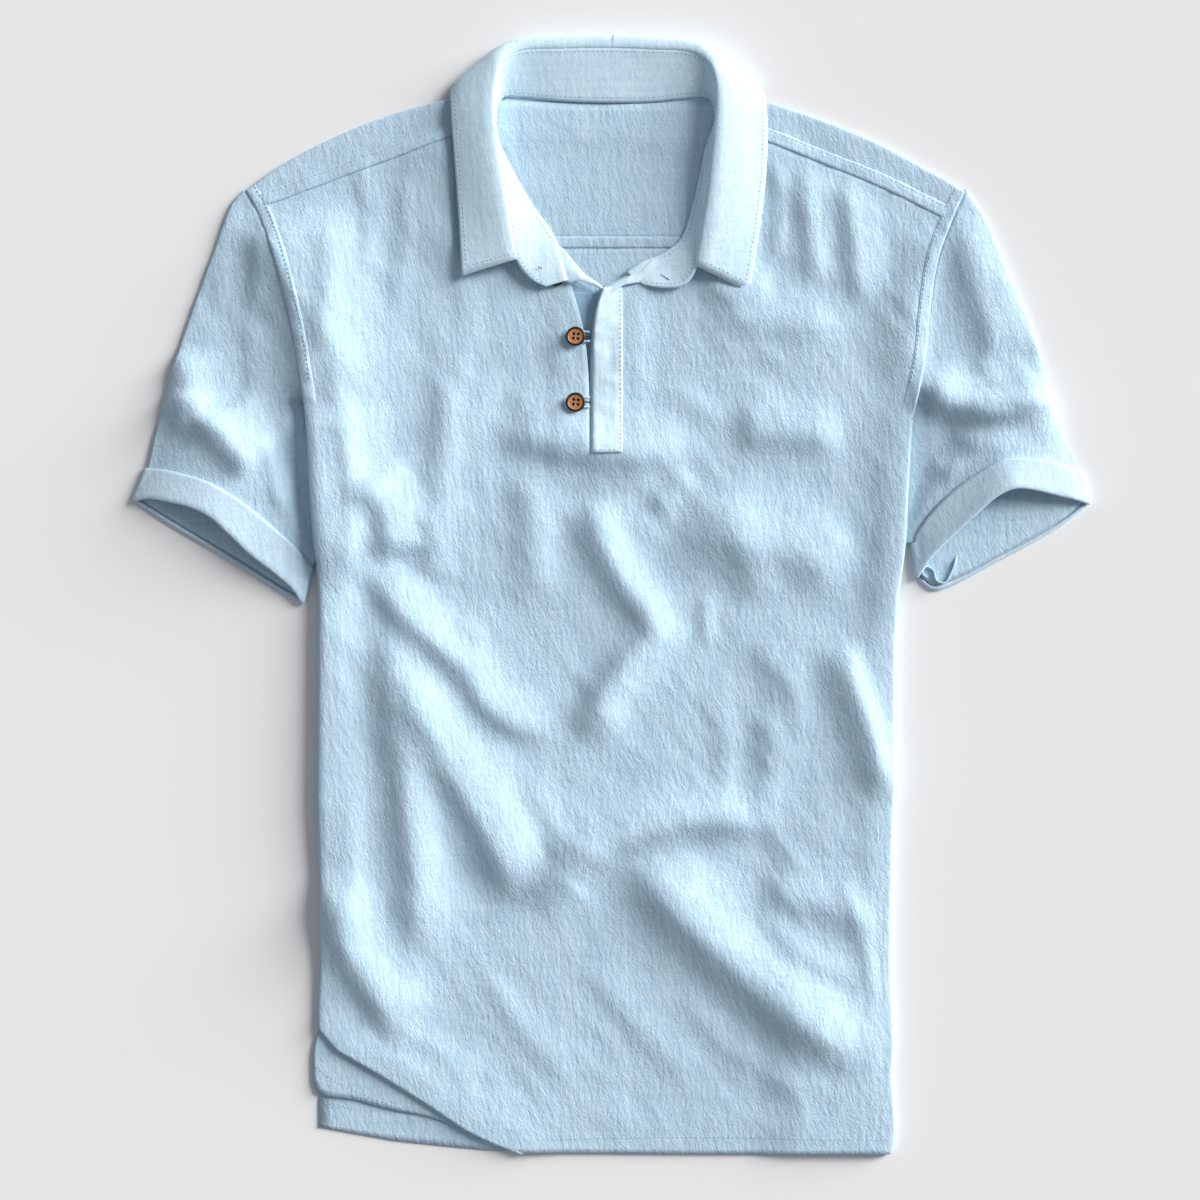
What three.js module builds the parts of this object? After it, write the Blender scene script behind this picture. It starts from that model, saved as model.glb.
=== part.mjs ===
// A short-sleeved popover shirt in light cotton, laid flat on its back with its sides folded under.
// Millimetres, +Z up. The floor is Z = 0, the collar points to +Y, and "left" is -X, as seen from above.
// Every piece of cloth is a wall round a mid-surface that is worked out from the tables below.
import * as THREE from "three";

// Driving sizes
const cloth = 1.2; // thickness of one wall of cloth
const half = cloth / 2;
const gap = 0.3; // space between two layers that lie on each other
const seam = 0.5; // space between two sewn pieces, side by side
const layer = cloth + gap; // rise from one layer to the next
const floorLayer = half; // mid-surface of a layer on the floor
const frontLayer = floorLayer + layer; // mid-surface of the front where it lies flat on the back
const overSleeve = floorLayer + 2 * layer; // mid-surface of what lies on a flat sleeve
const slitFoot = 94; // lower end of the front opening
const hemLine = -373.5;
const yokeSeamLine = 237; // seam between the yoke and the back panel
const cuffLift = layer + 0.15; // rise of a sleeve's under side where the turned-up cuff is under it
const placketWidth = 21;
const buttonRadius = 6.5;
const buttonThickness = 2.4;
const colours = { cloth: 0xb4d2e8, facing: 0xbcd9ee, wood: 0xa86a3d };

// Folds of the cloth. Each is a soft ridge along a crest, as high as "rise", that falls away over "lit" mm
// on its right-hand or upper side and over "shade" mm on the other side.
const folds = [
  { crest: [[-142, 6], [-143, -70], [-132, -170], [-128, -262]], rise: 5.5, lit: 20, shade: 11 },
  { crest: [[-158, 30], [-135, -20], [-95, -47], [-80, -72], [-55, -89], [-24, -94]], rise: 4.5, lit: 16, shade: 9 },
  { crest: [[-140, -40], [-108, -110], [-76, -170], [-50, -214]], rise: 5.5, lit: 20, shade: 11 },
  { crest: [[-196, -190], [-177, -240], [-150, -274], [-128, -296]], rise: 5, lit: 15, shade: 10 },
  { crest: [[-12, 72], [-9, 44], [2, 20], [24, -11], [42, -24]], rise: 5, lit: 12, shade: 12 },
  { crest: [[-58, 92], [-52, 40], [-50, -10]], rise: 3, lit: 12, shade: 20 },
  { crest: [[-86, 114], [-35, 100], [19, 93], [62, 96]], rise: 3.4, lit: 26, shade: 11 },
  { crest: [[78, 111], [118, 109], [158, 105]], rise: 3, lit: 22, shade: 10 },
  { crest: [[40, 45], [100, 30], [168, 12]], rise: 4, lit: 22, shade: 12 },
  { crest: [[46, -20], [6, -56], [-16, -102]], rise: 3.2, lit: 13, shade: 16 },
  { crest: [[146, -24], [167, -83], [188, -140]], rise: 5, lit: 12, shade: 13 },
  { crest: [[-58, -200], [-8, -157], [59, -137], [125, -140]], rise: 4, lit: 20, shade: 18 },
  { crest: [[10, -170], [58, -224], [106, -271], [146, -301], [188, -312]], rise: 8, lit: 20, shade: 13 },
  { crest: [[-190, 262], [-187, 215], [-194, 150]], rise: 2.8, lit: 20, shade: 12 },
  { crest: [[122, 294], [128, 250], [136, 205]], rise: 2.6, lit: 9, shade: 9 },
  { crest: [[154, 284], [162, 240], [168, 190]], rise: 2.6, lit: 9, shade: 9 },
  { crest: [[188, 262], [193, 190], [190, 120]], rise: 3, lit: 14, shade: 14 },
  { crest: [[-280, 160], [-266, 138], [-272, 108]], rise: 4, lit: 14, shade: 11 },
  { crest: [[-250, 246], [-252, 205], [-262, 170]], rise: 3, lit: 11, shade: 9 },
  { crest: [[206, 140], [243, 122], [280, 112]], rise: 6, lit: 18, shade: 11 },
  { crest: [[236, 262], [262, 205], [286, 150]], rise: 3, lit: 13, shade: 13 },
];

// Side edges of the front, from the foot of the opening down: where the cloth turns under.
// "reach" is how far it goes in under the shirt, "under" the mid-surface of that part, "top" the crest of the roll.
const leftSide = [
  { y: 128, x: -205, reach: 3, under: 4.6, top: 6.2, radius: 1.4 },
  { y: 108, x: -203, reach: 6, under: 3.9, top: 7.6, radius: 2.2 },
  { y: 71, x: -201, reach: 13, under: 3.7, top: 9, radius: 3.6 },
  { y: 44, x: -199, reach: 17, under: 3.9, top: 9.4, radius: 4 },
  { y: 18, x: -196, reach: 22, under: 3.9, top: 9, radius: 4 },
  { y: -4, x: -195, reach: 42, under: 2, top: 8.8, radius: 4 },
  { y: -25, x: -195, reach: 50, under: 0.6, top: 8.4, radius: 4 },
  { y: -137, x: -196, reach: 50, under: 0.6, top: 8, radius: 4 },
  { y: -205, x: -194, reach: 50, under: 0.6, top: 7, radius: 4 },
  { y: -243, x: -194, reach: 34, under: 0.6, top: 6.6, radius: 3.6 },
  { y: -275, x: -196, reach: 9, under: 0.9, top: 6.6, radius: 3 },
  { y: -290, x: -195, reach: 8, under: 4.4, top: 7, radius: 1.7 },
  { y: -304, x: -183, reach: 11, under: 4.4, top: 7, radius: 1.7 },
  { y: -320, x: -155, reach: 14, under: 4.4, top: 7, radius: 1.7 },
  { y: -340, x: -123, reach: 14, under: 4.2, top: 6.8, radius: 1.7 },
  { y: -357, x: -98, reach: 12, under: 3.8, top: 6.2, radius: 1.6 },
  { y: -366, x: -80, reach: 9, under: 3.6, top: 5.6, radius: 1.4 },
  { y: -373.5, x: -60, reach: 6, under: 3.6, top: 5.2, radius: 1.2 },
];
const rightSide = [
  { y: 128, x: 202, reach: 3, under: 4.6, top: 6.2, radius: 1.4 },
  { y: 108, x: 200, reach: 6, under: 3.9, top: 7.6, radius: 2.2 },
  { y: 71, x: 198, reach: 14, under: 3.7, top: 9.4, radius: 3.8 },
  { y: 37, x: 196.5, reach: 19, under: 3.9, top: 9.8, radius: 4.2 },
  { y: 24, x: 195, reach: 22, under: 3.9, top: 9.8, radius: 4.2 },
  { y: 2, x: 192, reach: 42, under: 2, top: 9.6, radius: 4.4 },
  { y: -28, x: 190, reach: 50, under: 0.6, top: 9.2, radius: 4.4 },
  { y: -137, x: 189, reach: 50, under: 0.6, top: 8.6, radius: 4.4 },
  { y: -204, x: 187, reach: 50, under: 0.6, top: 8.4, radius: 4.4 },
  { y: -258, x: 186.5, reach: 50, under: 0.6, top: 8, radius: 4 },
  { y: -298, x: 189, reach: 50, under: 0.6, top: 8, radius: 4 },
  { y: -321, x: 187, reach: 48, under: 0.6, top: 6.6, radius: 3.4 },
  { y: -350, x: 190, reach: 44, under: 0.6, top: 6.3, radius: 3 },
  { y: -366, x: 189.5, reach: 40, under: 0.6, top: 5.9, radius: 2.7 },
  { y: -373.5, x: 186, reach: 38, under: 0.6, top: 5.6, radius: 2.5 },
];
const rollSpread = 17; // how far in from a side its roll dies away

// Seam lines of the top layer, as points in plan.
const leftArmhole = [
  [-244, 272], [-236, 258], [-229, 241], [-222, 220], [-214, 187], [-208, 158], [-205, 130], [-199, 104],
  [-190, 71], [-182, 42],
];
const rightArmhole = [
  [236, 272], [228, 254], [221, 238], [216, 220], [212, 190], [209, 160], [203, 130], [197, 104],
  [188, 71], [178, 36],
];
const leftYokeSeam = [[-236.9, 259.6], [-199, 273.5], [-163, 287], [-138, 296], [-106, 308], [-78, 317]];
const rightYokeSeam = [[226.7, 251], [182, 273], [143, 289], [105, 304], [70, 317]];
const leftShoulder = [[-242.6, 272], [-225, 285], [-194, 302], [-157, 318], [-112, 331], [-92, 333], [-80, 333]];
const rightShoulder = [[72, 333], [88, 333], [104, 330], [138, 319], [177, 303], [209, 286], [234.8, 272]];
const leftNeck = [[-78, 317], [-75, 300], [-67, 282], [-57, 265], [-39, 239], [-28, 224], [-19, 207]];
const rightNeck = [[70, 317], [65, 300], [61, 284], [57, 265], [48, 238], [35, 227.5], [19, 221], [6, 212], [-7, 206]];
const leftSlit = [[-19, 207], [-16.5, 178], [-14.6, slitFoot]];
const rightSlit = [[-7, 206], [-13, 178], [-14.6, slitFoot]];

// Collar. "neck" is the stand's seam with the shirt, "fold" its top edge, where the leaf starts. "clear" is how far
// the seam lies above the flat top layer of the shirt.
const stand = [
  { neck: [-31, 210], clear: 4.8, fold: [-44, 206, 8.2] },
  { neck: [-34, 220], clear: 4.4, fold: [-54, 211, 9] },
  { neck: [-39, 238], clear: 2.4, fold: [-64, 224, 11] },
  { neck: [-57, 265], clear: 2, fold: [-71, 262, 16] },
  { neck: [-74.5, 301], clear: 2.5, fold: [-77, 304, 18] },
  { neck: [-77.5, 322], clear: 2.7, fold: [-79, 330, 18] },
  { neck: [-73, 334.5], clear: 1.6, fold: [-74, 356, 15.5] },
  { neck: [-60, 335], clear: 1, fold: [-62, 364, 12] },
  { neck: [-32, 332.5], clear: 0.6, fold: [-32, 366, 10.5] },
  { neck: [-4, 331.5], clear: 0.6, fold: [-4, 366.5, 10] },
  { neck: [26, 332], clear: 0.6, fold: [27, 365.5, 10.5] },
  { neck: [52, 334.5], clear: 1, fold: [55, 363, 12] },
  { neck: [65, 334.5], clear: 1.6, fold: [66, 355, 15.5] },
  { neck: [69.5, 322], clear: 2.7, fold: [71, 330, 18] },
  { neck: [64.5, 301], clear: 2.5, fold: [69, 303, 18] },
  { neck: [57, 265], clear: 2, fold: [65, 266, 16] },
  { neck: [47, 237], clear: 2, fold: [57, 219, 11] },
  { neck: [33, 226.5], clear: 2, fold: [48, 207, 8] },
  { neck: [20, 221], clear: 2, fold: [29, 206, 6.8] },
  { neck: [11, 215], clear: 1.8, fold: [21, 208, 6] },
];
// Rows of the leaf: where it leaves the stand, the crest of its roll, its turn, where it comes to lie, its free edge.
const leaf = [
  { fold: [-64, 224, 11], crest: [-67.5, 223, 12.2], turn: [-77, 220, 10.6], lie: [-89, 216.5, 8.2], edge: [-100, 213, 7] },
  { fold: [-71, 262, 16], crest: [-75, 262, 17], turn: [-84, 263, 14.6], lie: [-94, 265, 10.6], edge: [-103, 268, 7.4] },
  { fold: [-77, 304, 18], crest: [-81, 304.5, 19], turn: [-90, 306, 16], lie: [-99, 308, 11.6], edge: [-106, 309, 8] },
  { fold: [-79, 330, 18], crest: [-82.5, 331, 18.6], turn: [-91, 332, 15.4], lie: [-100, 331, 11], edge: [-107, 328, 7.4] },
  { fold: [-77, 346, 17], crest: [-81, 348, 16.8], turn: [-92, 348.5, 12.6], lie: [-101, 345, 7.8], edge: [-106, 339, 4] },
  { fold: [-74, 356, 15.5], crest: [-77, 360.5, 14.6], turn: [-86, 358, 9], lie: [-91, 351, 2.6], edge: [-97, 338, 0.6] },
  { fold: [-62, 364, 12], crest: [-63.5, 370, 11.4], turn: [-67, 370.5, 4.6], lie: [-69, 362, 0.8], edge: [-74, 326, 0.6] },
  { fold: [-32, 366, 10.5], crest: [-32, 373, 10], turn: [-32, 374, 4.4], lie: [-33, 366, 0.7], edge: [-34, 324, 0.6] },
  { fold: [-4, 366.5, 10], crest: [-4, 373.5, 9.6], turn: [-4, 374.5, 4.4], lie: [-4, 366.5, 0.7], edge: [-4, 324, 0.6] },
  { fold: [27, 365.5, 10.5], crest: [27, 372, 10], turn: [27, 373, 4.4], lie: [28, 365, 0.7], edge: [28, 324, 0.6] },
  { fold: [55, 363, 12], crest: [56.5, 368.5, 11.4], turn: [60, 368.5, 4.6], lie: [62, 360, 0.8], edge: [66, 326, 0.6] },
  { fold: [66, 355, 15.5], crest: [69, 359, 14.6], turn: [78, 356, 9], lie: [83.5, 349, 2.6], edge: [89, 337, 0.6] },
  { fold: [70, 345, 17], crest: [74, 346.5, 16.8], turn: [86, 346, 12.6], lie: [95.5, 342, 8], edge: [101, 336.5, 4.6] },
  { fold: [71, 330, 18], crest: [75, 331, 18.6], turn: [85, 331, 15.4], lie: [95.5, 328, 11], edge: [103.5, 323, 8] },
  { fold: [69, 303, 18], crest: [73, 303.5, 19], turn: [84, 303.5, 16], lie: [95, 302, 11.6], edge: [104, 300, 8] },
  { fold: [65, 266, 16], crest: [69, 266, 17], turn: [80, 264, 14.6], lie: [92, 262, 10.6], edge: [101, 260, 7.4] },
  { fold: [57, 219, 11], crest: [60.5, 217.5, 12.2], turn: [70, 213, 10.6], lie: [82, 207, 8.6], edge: [92, 202, 7.4] },
];

// Sleeves. "heights" are where both the body and the sleeve have points along the armhole. Each line runs from
// the outer fold to the underarm fold. The cuff line is where the turned-up cuff ends,
// the mouth is the edge that the arm comes out of. "under" is the same line on the side that lies on the floor.
const sleeves = {
  left: {
    armhole: leftArmhole,
    heights: [272, 259.6, 241, 220, 199, 178, 157, 136, 116, 92, 66, 42],
    outer: [[-244, 272], [-253, 263], [-266, 229], [-287, 171], [-302, 118], [-309.5, 86]],
    inner: [[-182, 42], [-190, 32], [-200.5, 20]],
    cuffLine: [[-309.5, 86, 3], [-300, 85, 5.4], [-286, 82, 7.4], [-270, 77, 9.4], [-253, 68, 11], [-235, 55, 11],
      [-219, 41, 9], [-208, 30, 5.6], [-200.5, 20, 3]],
    cuffLineUnder: [[-309.5, 86], [-282, 69], [-255, 53], [-228, 36], [-200.5, 20]],
    mouth: [[-319, 63, 4], [-308, 65, 7.4], [-296, 63, 10], [-281, 59.5, 12.6], [-267, 52.5, 14.4], [-255, 41, 14.8],
      [-241, 27, 13.4], [-224, 14, 10], [-213, 4, 6.6], [-207.5, -5, 4]],
    mouthUnder: [[-319, 63], [-298, 49], [-271, 33], [-244, 17], [-222, 3], [-207.5, -5]],
  },
  right: {
    armhole: rightArmhole,
    heights: [272, 251, 236, 220, 199, 178, 157, 136, 116, 92, 64, 36],
    outer: [[236, 272], [246, 258], [262, 222], [283, 172], [298, 118], [312, 84]],
    inner: [[178, 36], [190, 34], [202, 36]],
    cuffLine: [[312, 84, 3], [303, 88, 6], [290, 91, 8.6], [274, 92.5, 11.4], [260, 91, 13], [247, 84, 11.6],
      [232, 74, 9], [217, 60, 7], [207, 47, 5], [202, 36, 3]],
    cuffLineUnder: [[312, 84], [286, 66], [258, 48], [230, 34], [202, 36]],
    mouth: [[319, 61, 4], [309, 64, 7.6], [296, 67, 11], [281, 70.5, 15], [268, 71.5, 17.6], [256, 66, 17],
      [243, 54, 14.4], [228, 40, 11], [215, 27, 8], [205, 12, 4]],
    mouthUnder: [[319, 61], [303, 48], [279, 34], [254, 21], [230, 8], [215, 3], [205, 12]],
  },
};

// The corner of the front that is seen past the pleat at the lower left, and the foot of the back panel under it.
const pleatCorner = {
  outer: [[-196, -291], [-199, -304], [-199.5, -318], [-198.5, -330], [-194.5, -334]],
  inner: [[-186, -288], [-170, -300], [-147, -315], [-122, -333], [-102, -352]],
  top: 2.2,
};
const backFoot = [[-196, -356], [-173, -360], [-145, -365], [-117, -368], [-77, -372], [-20, -371.5], [60, -371], [140, -370]];

// A smooth curve through points in plan or space, as n + 1 points at even spacing.
const vector = ([x, y, z = 0]) => new THREE.Vector3(x, y, z);
const curveThrough = (points) => new THREE.CatmullRomCurve3(points.map(vector), false, "centripetal");
const along = (points, n) => curveThrough(points).getSpacedPoints(n);
const mix = (a, b, t) => a + (b - a) * t;
const clamp01 = (t) => Math.min(1, Math.max(0, t));
const smooth = (from, to, value) => {
  const t = clamp01((value - from) / (to - from));
  return t * t * (3 - 2 * t);
};

// The values of a side table at height y, straight between its rows.
function sideAt(table, y) {
  let i = 0;
  while (i < table.length - 2 && table[i + 1].y > y) i++;
  const [a, b] = [table[i], table[i + 1]];
  const t = clamp01((a.y - y) / (a.y - b.y));
  return Object.fromEntries(Object.keys(a).map((key) => [key, mix(a[key], b[key], t)]));
}

// The x of a seam line at height y.
function seamX(line, y) {
  let i = 0;
  while (i < line.length - 2 && line[i + 1][1] > y) i++;
  const [a, b] = [line[i], line[i + 1]];
  return mix(a[0], b[0], clamp01((a[1] - y) / (a[1] - b[1])));
}

// The nearest place on a line of points in plan: how far off it is, where along the line, and on which side.
function nearestOn(line, x, y) {
  let best = { distance: Infinity, place: 0, dx: 0, dy: 0 };
  for (let i = 0; i + 1 < line.length; i++) {
    const [ax, ay] = [line[i + 1].x - line[i].x, line[i + 1].y - line[i].y];
    const t = clamp01(((x - line[i].x) * ax + (y - line[i].y) * ay) / (ax * ax + ay * ay));
    const [dx, dy] = [x - line[i].x - t * ax, y - line[i].y - t * ay];
    const distance = Math.hypot(dx, dy);
    if (distance < best.distance) best = { distance, place: (i + t) / (line.length - 1), dx, dy };
  }
  return best;
}

// Height of the folds over the flat cloth at a point in plan.
const crests = folds.map((fold) => ({ ...fold, line: along(fold.crest, 3 * fold.crest.length) }));
function relief(x, y) {
  let height = 0;
  for (const { line, rise, lit, shade } of crests) {
    const near = nearestOn(line, x, y);
    const spread = near.dx * 0.8 + near.dy * 0.6 > 0 ? lit : shade;
    const taper = smooth(0, 0.25, near.place) * smooth(1, 0.75, near.place);
    height += rise * taper * Math.exp(-((near.distance / spread) ** 2));
  }
  return height;
}

// Side edges as rows: the turn of the cloth, the way in, and the crest of the roll.
function sideRows(table, sign, heights) {
  return heights.map((y) => {
    const row = sideAt(table, y);
    const [above, below] = [sideAt(table, y + 4), sideAt(table, y - 4)];
    const tangent = new THREE.Vector3(below.x - above.x, -8, 0);
    if (below.y === above.y) tangent.set(0, -1, 0);
    const slanted = sign > 0 && y < -286;
    const inward = slanted
      ? new THREE.Vector3(8, Math.max(0, below.x - above.x), 0).normalize()
      : new THREE.Vector3(sign, 0, 0);
    const edge = new THREE.Vector3(row.x, y, 0);
    const crest = edge.clone().addScaledVector(inward, row.radius).setZ(row.top);
    return { ...row, inward, edge, crest };
  });
}

// Heights of the rows from the foot of the opening down to the hem, the same on both sides.
const heights = [slitFoot];
for (let y = 76; y > -265; y -= 18) heights.push(y);
heights.push(-275, -286, -296, -306, -317, -328, -339, -349, -358, -366, hemLine);
const leftRows = sideRows(leftSide, 1, heights);
const rightRows = sideRows(rightSide, -1, heights);
const leftUpper = sideRows(leftSide, 1, [128, 117, 106]);
const rightUpper = sideRows(rightSide, -1, [128, 117, 106]);
const leftCrest = [...leftUpper, ...leftRows].map((row) => row.crest);
const rightCrest = [...rightUpper, ...rightRows].map((row) => row.crest);

// Rise of the back of the yoke over the part of the collar's leaf that lies under it.
const collarRise = (x, y, lead = 0) =>
  layer * smooth(292 - lead, 309 - lead / 2, y) * smooth(-132 - lead, -112, x) * smooth(124 + lead, 106, x);
const placketRise = (x, y) => layer * smooth(-46, -33, x) * smooth(30, 16, x) * smooth(62, 79, y);

// Where the back panel lies over the turned-under sides with its own two hidden layers, made as one thick layer.
const doubled = half + 0.75; // half thickness of the two layers together
function overSides(x, y, margin = 0) {
  const left = smooth(-26 + margin, -44, y) * smooth(-228 - margin, -206, y) * smooth(-122 + margin, -136, x);
  const right = smooth(-26 + margin, -44, y) * smooth(112 - margin, 127, x);
  return Math.max(left, right);
}

// Mid-surface of the top layer of the body at a point in plan.
function topHeight(x, y) {
  const under = collarRise(x, y, 16) + placketRise(x, y) * smooth(232, 216, y);
  const flat = frontLayer + under + (2 * (doubled - half) + layer + gap) * overSides(x, y, 20);
  let roll = 0;
  let calm = 1;
  for (const line of [leftCrest, rightCrest]) {
    const near = nearestOn(line, x, y);
    const place = near.place * (line.length - 1);
    const i = Math.min(Math.floor(place), line.length - 2);
    const top = mix(line[i].z, line[i + 1].z, place - i);
    const fall = Math.exp(-((near.distance / rollSpread) ** 2));
    roll = Math.max(roll, (top - flat) * fall);
    calm *= smooth(0, 14, near.distance);
  }
  const edges = smooth(hemLine - 1, hemLine + 26, y);
  return flat + roll + relief(x, y) * calm * mix(0.45, 1, edges) * smooth(335, 300, y);
}
const onTop = ([x, y]) => new THREE.Vector3(x, y, topHeight(x, y));

// The wall of a piece of cloth: patches of mid-surface points that share points where they meet,
// moved out to both sides and closed along the free edges.
function wall(patches, halfAt = () => half) {
  const keys = new Map();
  const points = [];
  const faces = [];
  const indexOf = (point) => {
    const key = point.toArray().map((value) => Math.round(value * 100)).join();
    if (!keys.has(key)) {
      keys.set(key, points.length);
      points.push(point);
    }
    return keys.get(key);
  };
  for (const rows of patches) {
    const grid = rows.map((row) => row.map(indexOf));
    for (let i = 0; i + 1 < grid.length; i++) {
      for (let j = 0; j + 1 < grid[i].length; j++) {
        const [a, b, c, d] = [grid[i][j], grid[i][j + 1], grid[i + 1][j + 1], grid[i + 1][j]];
        const shorter = points[a].distanceTo(points[c]) <= points[b].distanceTo(points[d]);
        const pair = shorter ? [[a, b, c], [a, c, d]] : [[a, b, d], [b, c, d]];
        faces.push(...pair.filter((face) => new Set(face).size === 3));
      }
    }
  }
  const sides = faceEdges(faces);
  turnAlike(faces, sides);
  const normals = points.map(() => new THREE.Vector3());
  for (const [a, b, c] of faces) {
    const ab = points[b].clone().sub(points[a]);
    const normal = ab.cross(points[c].clone().sub(points[a]));
    for (const index of [a, b, c]) normals[index].add(normal);
  }
  const count = points.length;
  const positions = [];
  for (const sign of [1, -1]) {
    points.forEach((point, i) => {
      const out = normals[i].clone().normalize().multiplyScalar(sign * halfAt(point));
      positions.push(...point.clone().add(out).toArray());
    });
  }
  const index = [];
  for (const [a, b, c] of faces) index.push(a, b, c, a + count, c + count, b + count);
  for (const list of faceEdges(faces).values()) {
    if (list.length > 1) continue;
    const { from, to } = list[0];
    index.push(to, from, from + count, to, from + count, to + count);
  }
  const geometry = new THREE.BufferGeometry();
  geometry.setAttribute("position", new THREE.Float32BufferAttribute(positions, 3));
  geometry.setIndex(index);
  return facingOut(geometry);
}

// Edges of a list of faces, each with the faces that use it and in which direction.
function faceEdges(faces) {
  const edges = new Map();
  faces.forEach((face, owner) => {
    for (let k = 0; k < 3; k++) {
      const [from, to] = [face[k], face[(k + 1) % 3]];
      const key = from < to ? `${from},${to}` : `${to},${from}`;
      if (!edges.has(key)) edges.set(key, []);
      edges.get(key).push({ owner, from, to });
    }
  });
  return edges;
}

// Turns faces so that neighbours run the same way round.
function turnAlike(faces, edges) {
  const around = faces.map(() => []);
  for (const list of edges.values()) {
    if (list.length > 2) throw new Error("three faces on one edge");
    if (list.length < 2) continue;
    const same = list[0].from === list[1].from;
    around[list[0].owner].push([list[1].owner, same]);
    around[list[1].owner].push([list[0].owner, same]);
  }
  const turned = new Map([[0, false]]);
  const queue = [0];
  while (queue.length) {
    const owner = queue.pop();
    for (const [next, same] of around[owner]) {
      if (turned.has(next)) continue;
      turned.set(next, turned.get(owner) !== same);
      queue.push(next);
    }
  }
  if (turned.size !== faces.length) throw new Error("patches that do not meet");
  turned.forEach((turn, owner) => turn && faces[owner].reverse());
}

// Turns a closed surface so that it faces out.
function facingOut(geometry) {
  const position = geometry.getAttribute("position");
  const index = geometry.getIndex();
  const [a, b, c] = [new THREE.Vector3(), new THREE.Vector3(), new THREE.Vector3()];
  let volume = 0;
  for (let i = 0; i < index.count; i += 3) {
    a.fromBufferAttribute(position, index.getX(i));
    b.fromBufferAttribute(position, index.getX(i + 1));
    c.fromBufferAttribute(position, index.getX(i + 2));
    volume += a.dot(b.cross(c));
  }
  if (volume < 0) index.array.reverse();
  geometry.computeVertexNormals();
  return geometry;
}

// A grid of plan points inside four border curves, first index along "start" and "end" (both n points),
// second along "first" and "last".
function filled(start, end, first, last) {
  const [n, m] = [start.length - 1, first.length - 1];
  const corner = [first[0], first[m], last[0], last[m]];
  return start.map((_, i) => first.map((__, j) => {
    const [s, t] = [i / n, j / m];
    const point = start[i].clone().multiplyScalar(1 - t).addScaledVector(end[i], t);
    point.addScaledVector(first[j], 1 - s).addScaledVector(last[j], s);
    point.addScaledVector(corner[0], -(1 - s) * (1 - t)).addScaledVector(corner[1], -(1 - s) * t);
    return point.addScaledVector(corner[2], -s * (1 - t)).addScaledVector(corner[3], -s * t);
  }));
}
const straight = (a, b, n) => Array.from({ length: n + 1 }, (_, i) => a.clone().lerp(b, i / n));
const liftedTo = (rows, height) => rows.map((row) => row.map((p) => new THREE.Vector3(p.x, p.y, height(p.x, p.y))));
const inPlan = (points) => points.map((p) => new THREE.Vector3(p.x, p.y, 0));
const shifted = (points, dx, dy) => points.map(([x, y, ...rest]) => [x + dx, y + dy, ...rest]);

// Front panel. Its main rows run from side to side, its upper halves from the armholes to the opening and neck.
const leftColumns = 11;
const rightColumns = 12;
const middleOf = (y) => -14.6 + 70 * smooth(slitFoot, hemLine, y);
const mainRows = leftRows.map((row, i) => {
  const [left, right] = [row.crest, rightRows[i].crest];
  const y = heights[i];
  const middle = new THREE.Vector3(middleOf(y), y + (i ? 0.4 : 0), 0);
  const plan = [...straight(left, middle, leftColumns), ...straight(middle, right, rightColumns).slice(1)];
  return plan.map((p, j) => {
    if (j === 0) return left;
    if (j === plan.length - 1) return right;
    return onTop([p.x, p.y]);
  });
});

function upperHalf(rows, armhole, ys, slit, neck, yokeSeam, firstRow) {
  const crestPoints = [firstRow[0], ...rows.toReversed().map((row) => row.crest)];
  const shared = ys.slice(1, 8).toReversed().map((y) => new THREE.Vector3(seamX(armhole, y), y, 0));
  const between = shared.slice(0, -2).flatMap((p, i) => [p, p.clone().lerp(shared[i + 1], 0.5)]);
  const outer = [...crestPoints, ...between, ...shared.slice(-2)];
  const inner = [...along(slit.toReversed(), 7), ...along(neck.toReversed(), 8).slice(1)];
  const last = along(yokeSeam, firstRow.length - 1);
  const grid = filled(inPlan(outer), inPlan(inner), inPlan(firstRow), inPlan(last));
  return grid.map((row, i) => row.map((p, j) => {
    if (i === 0) return firstRow[j];
    if (j === 0 && i < crestPoints.length) return crestPoints[i];
    return onTop([p.x, p.y]);
  }));
}
const leftFirst = mainRows[0].slice(0, leftColumns + 1);
const rightFirst = mainRows[0].slice(leftColumns).toReversed();
const leftHalf = upperHalf(leftUpper, leftArmhole, sleeves.left.heights, leftSlit, leftNeck, leftYokeSeam, leftFirst);
const rightHalf = upperHalf(rightUpper, rightArmhole, sleeves.right.heights, rightSlit, rightNeck, rightYokeSeam, rightFirst);

// The turn of a side edge and the part that lies under the shirt.
function sidePatch(rows) {
  return rows.map((row) => {
    const centre = (row.top + row.under) / 2;
    const rise = (row.top - row.under) / 2;
    const axis = row.edge.clone().addScaledVector(row.inward, row.radius);
    const turn = [0.25, 0.5, 0.75, 1].map((part) => {
      const angle = Math.PI * part;
      const point = axis.clone().addScaledVector(row.inward, -row.radius * Math.sin(angle));
      return point.setZ(centre + rise * Math.cos(angle));
    });
    const reach = Math.max(row.reach, row.radius + 1.5);
    const end = row.edge.clone().addScaledVector(row.inward, reach).setZ(row.under);
    return [row.crest, ...turn, turn[3].clone().lerp(end, 0.5), end];
  });
}
const leftTurn = sidePatch([...leftUpper, ...leftRows]);
const rightTurn = sidePatch([...rightUpper, ...rightRows]);

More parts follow.
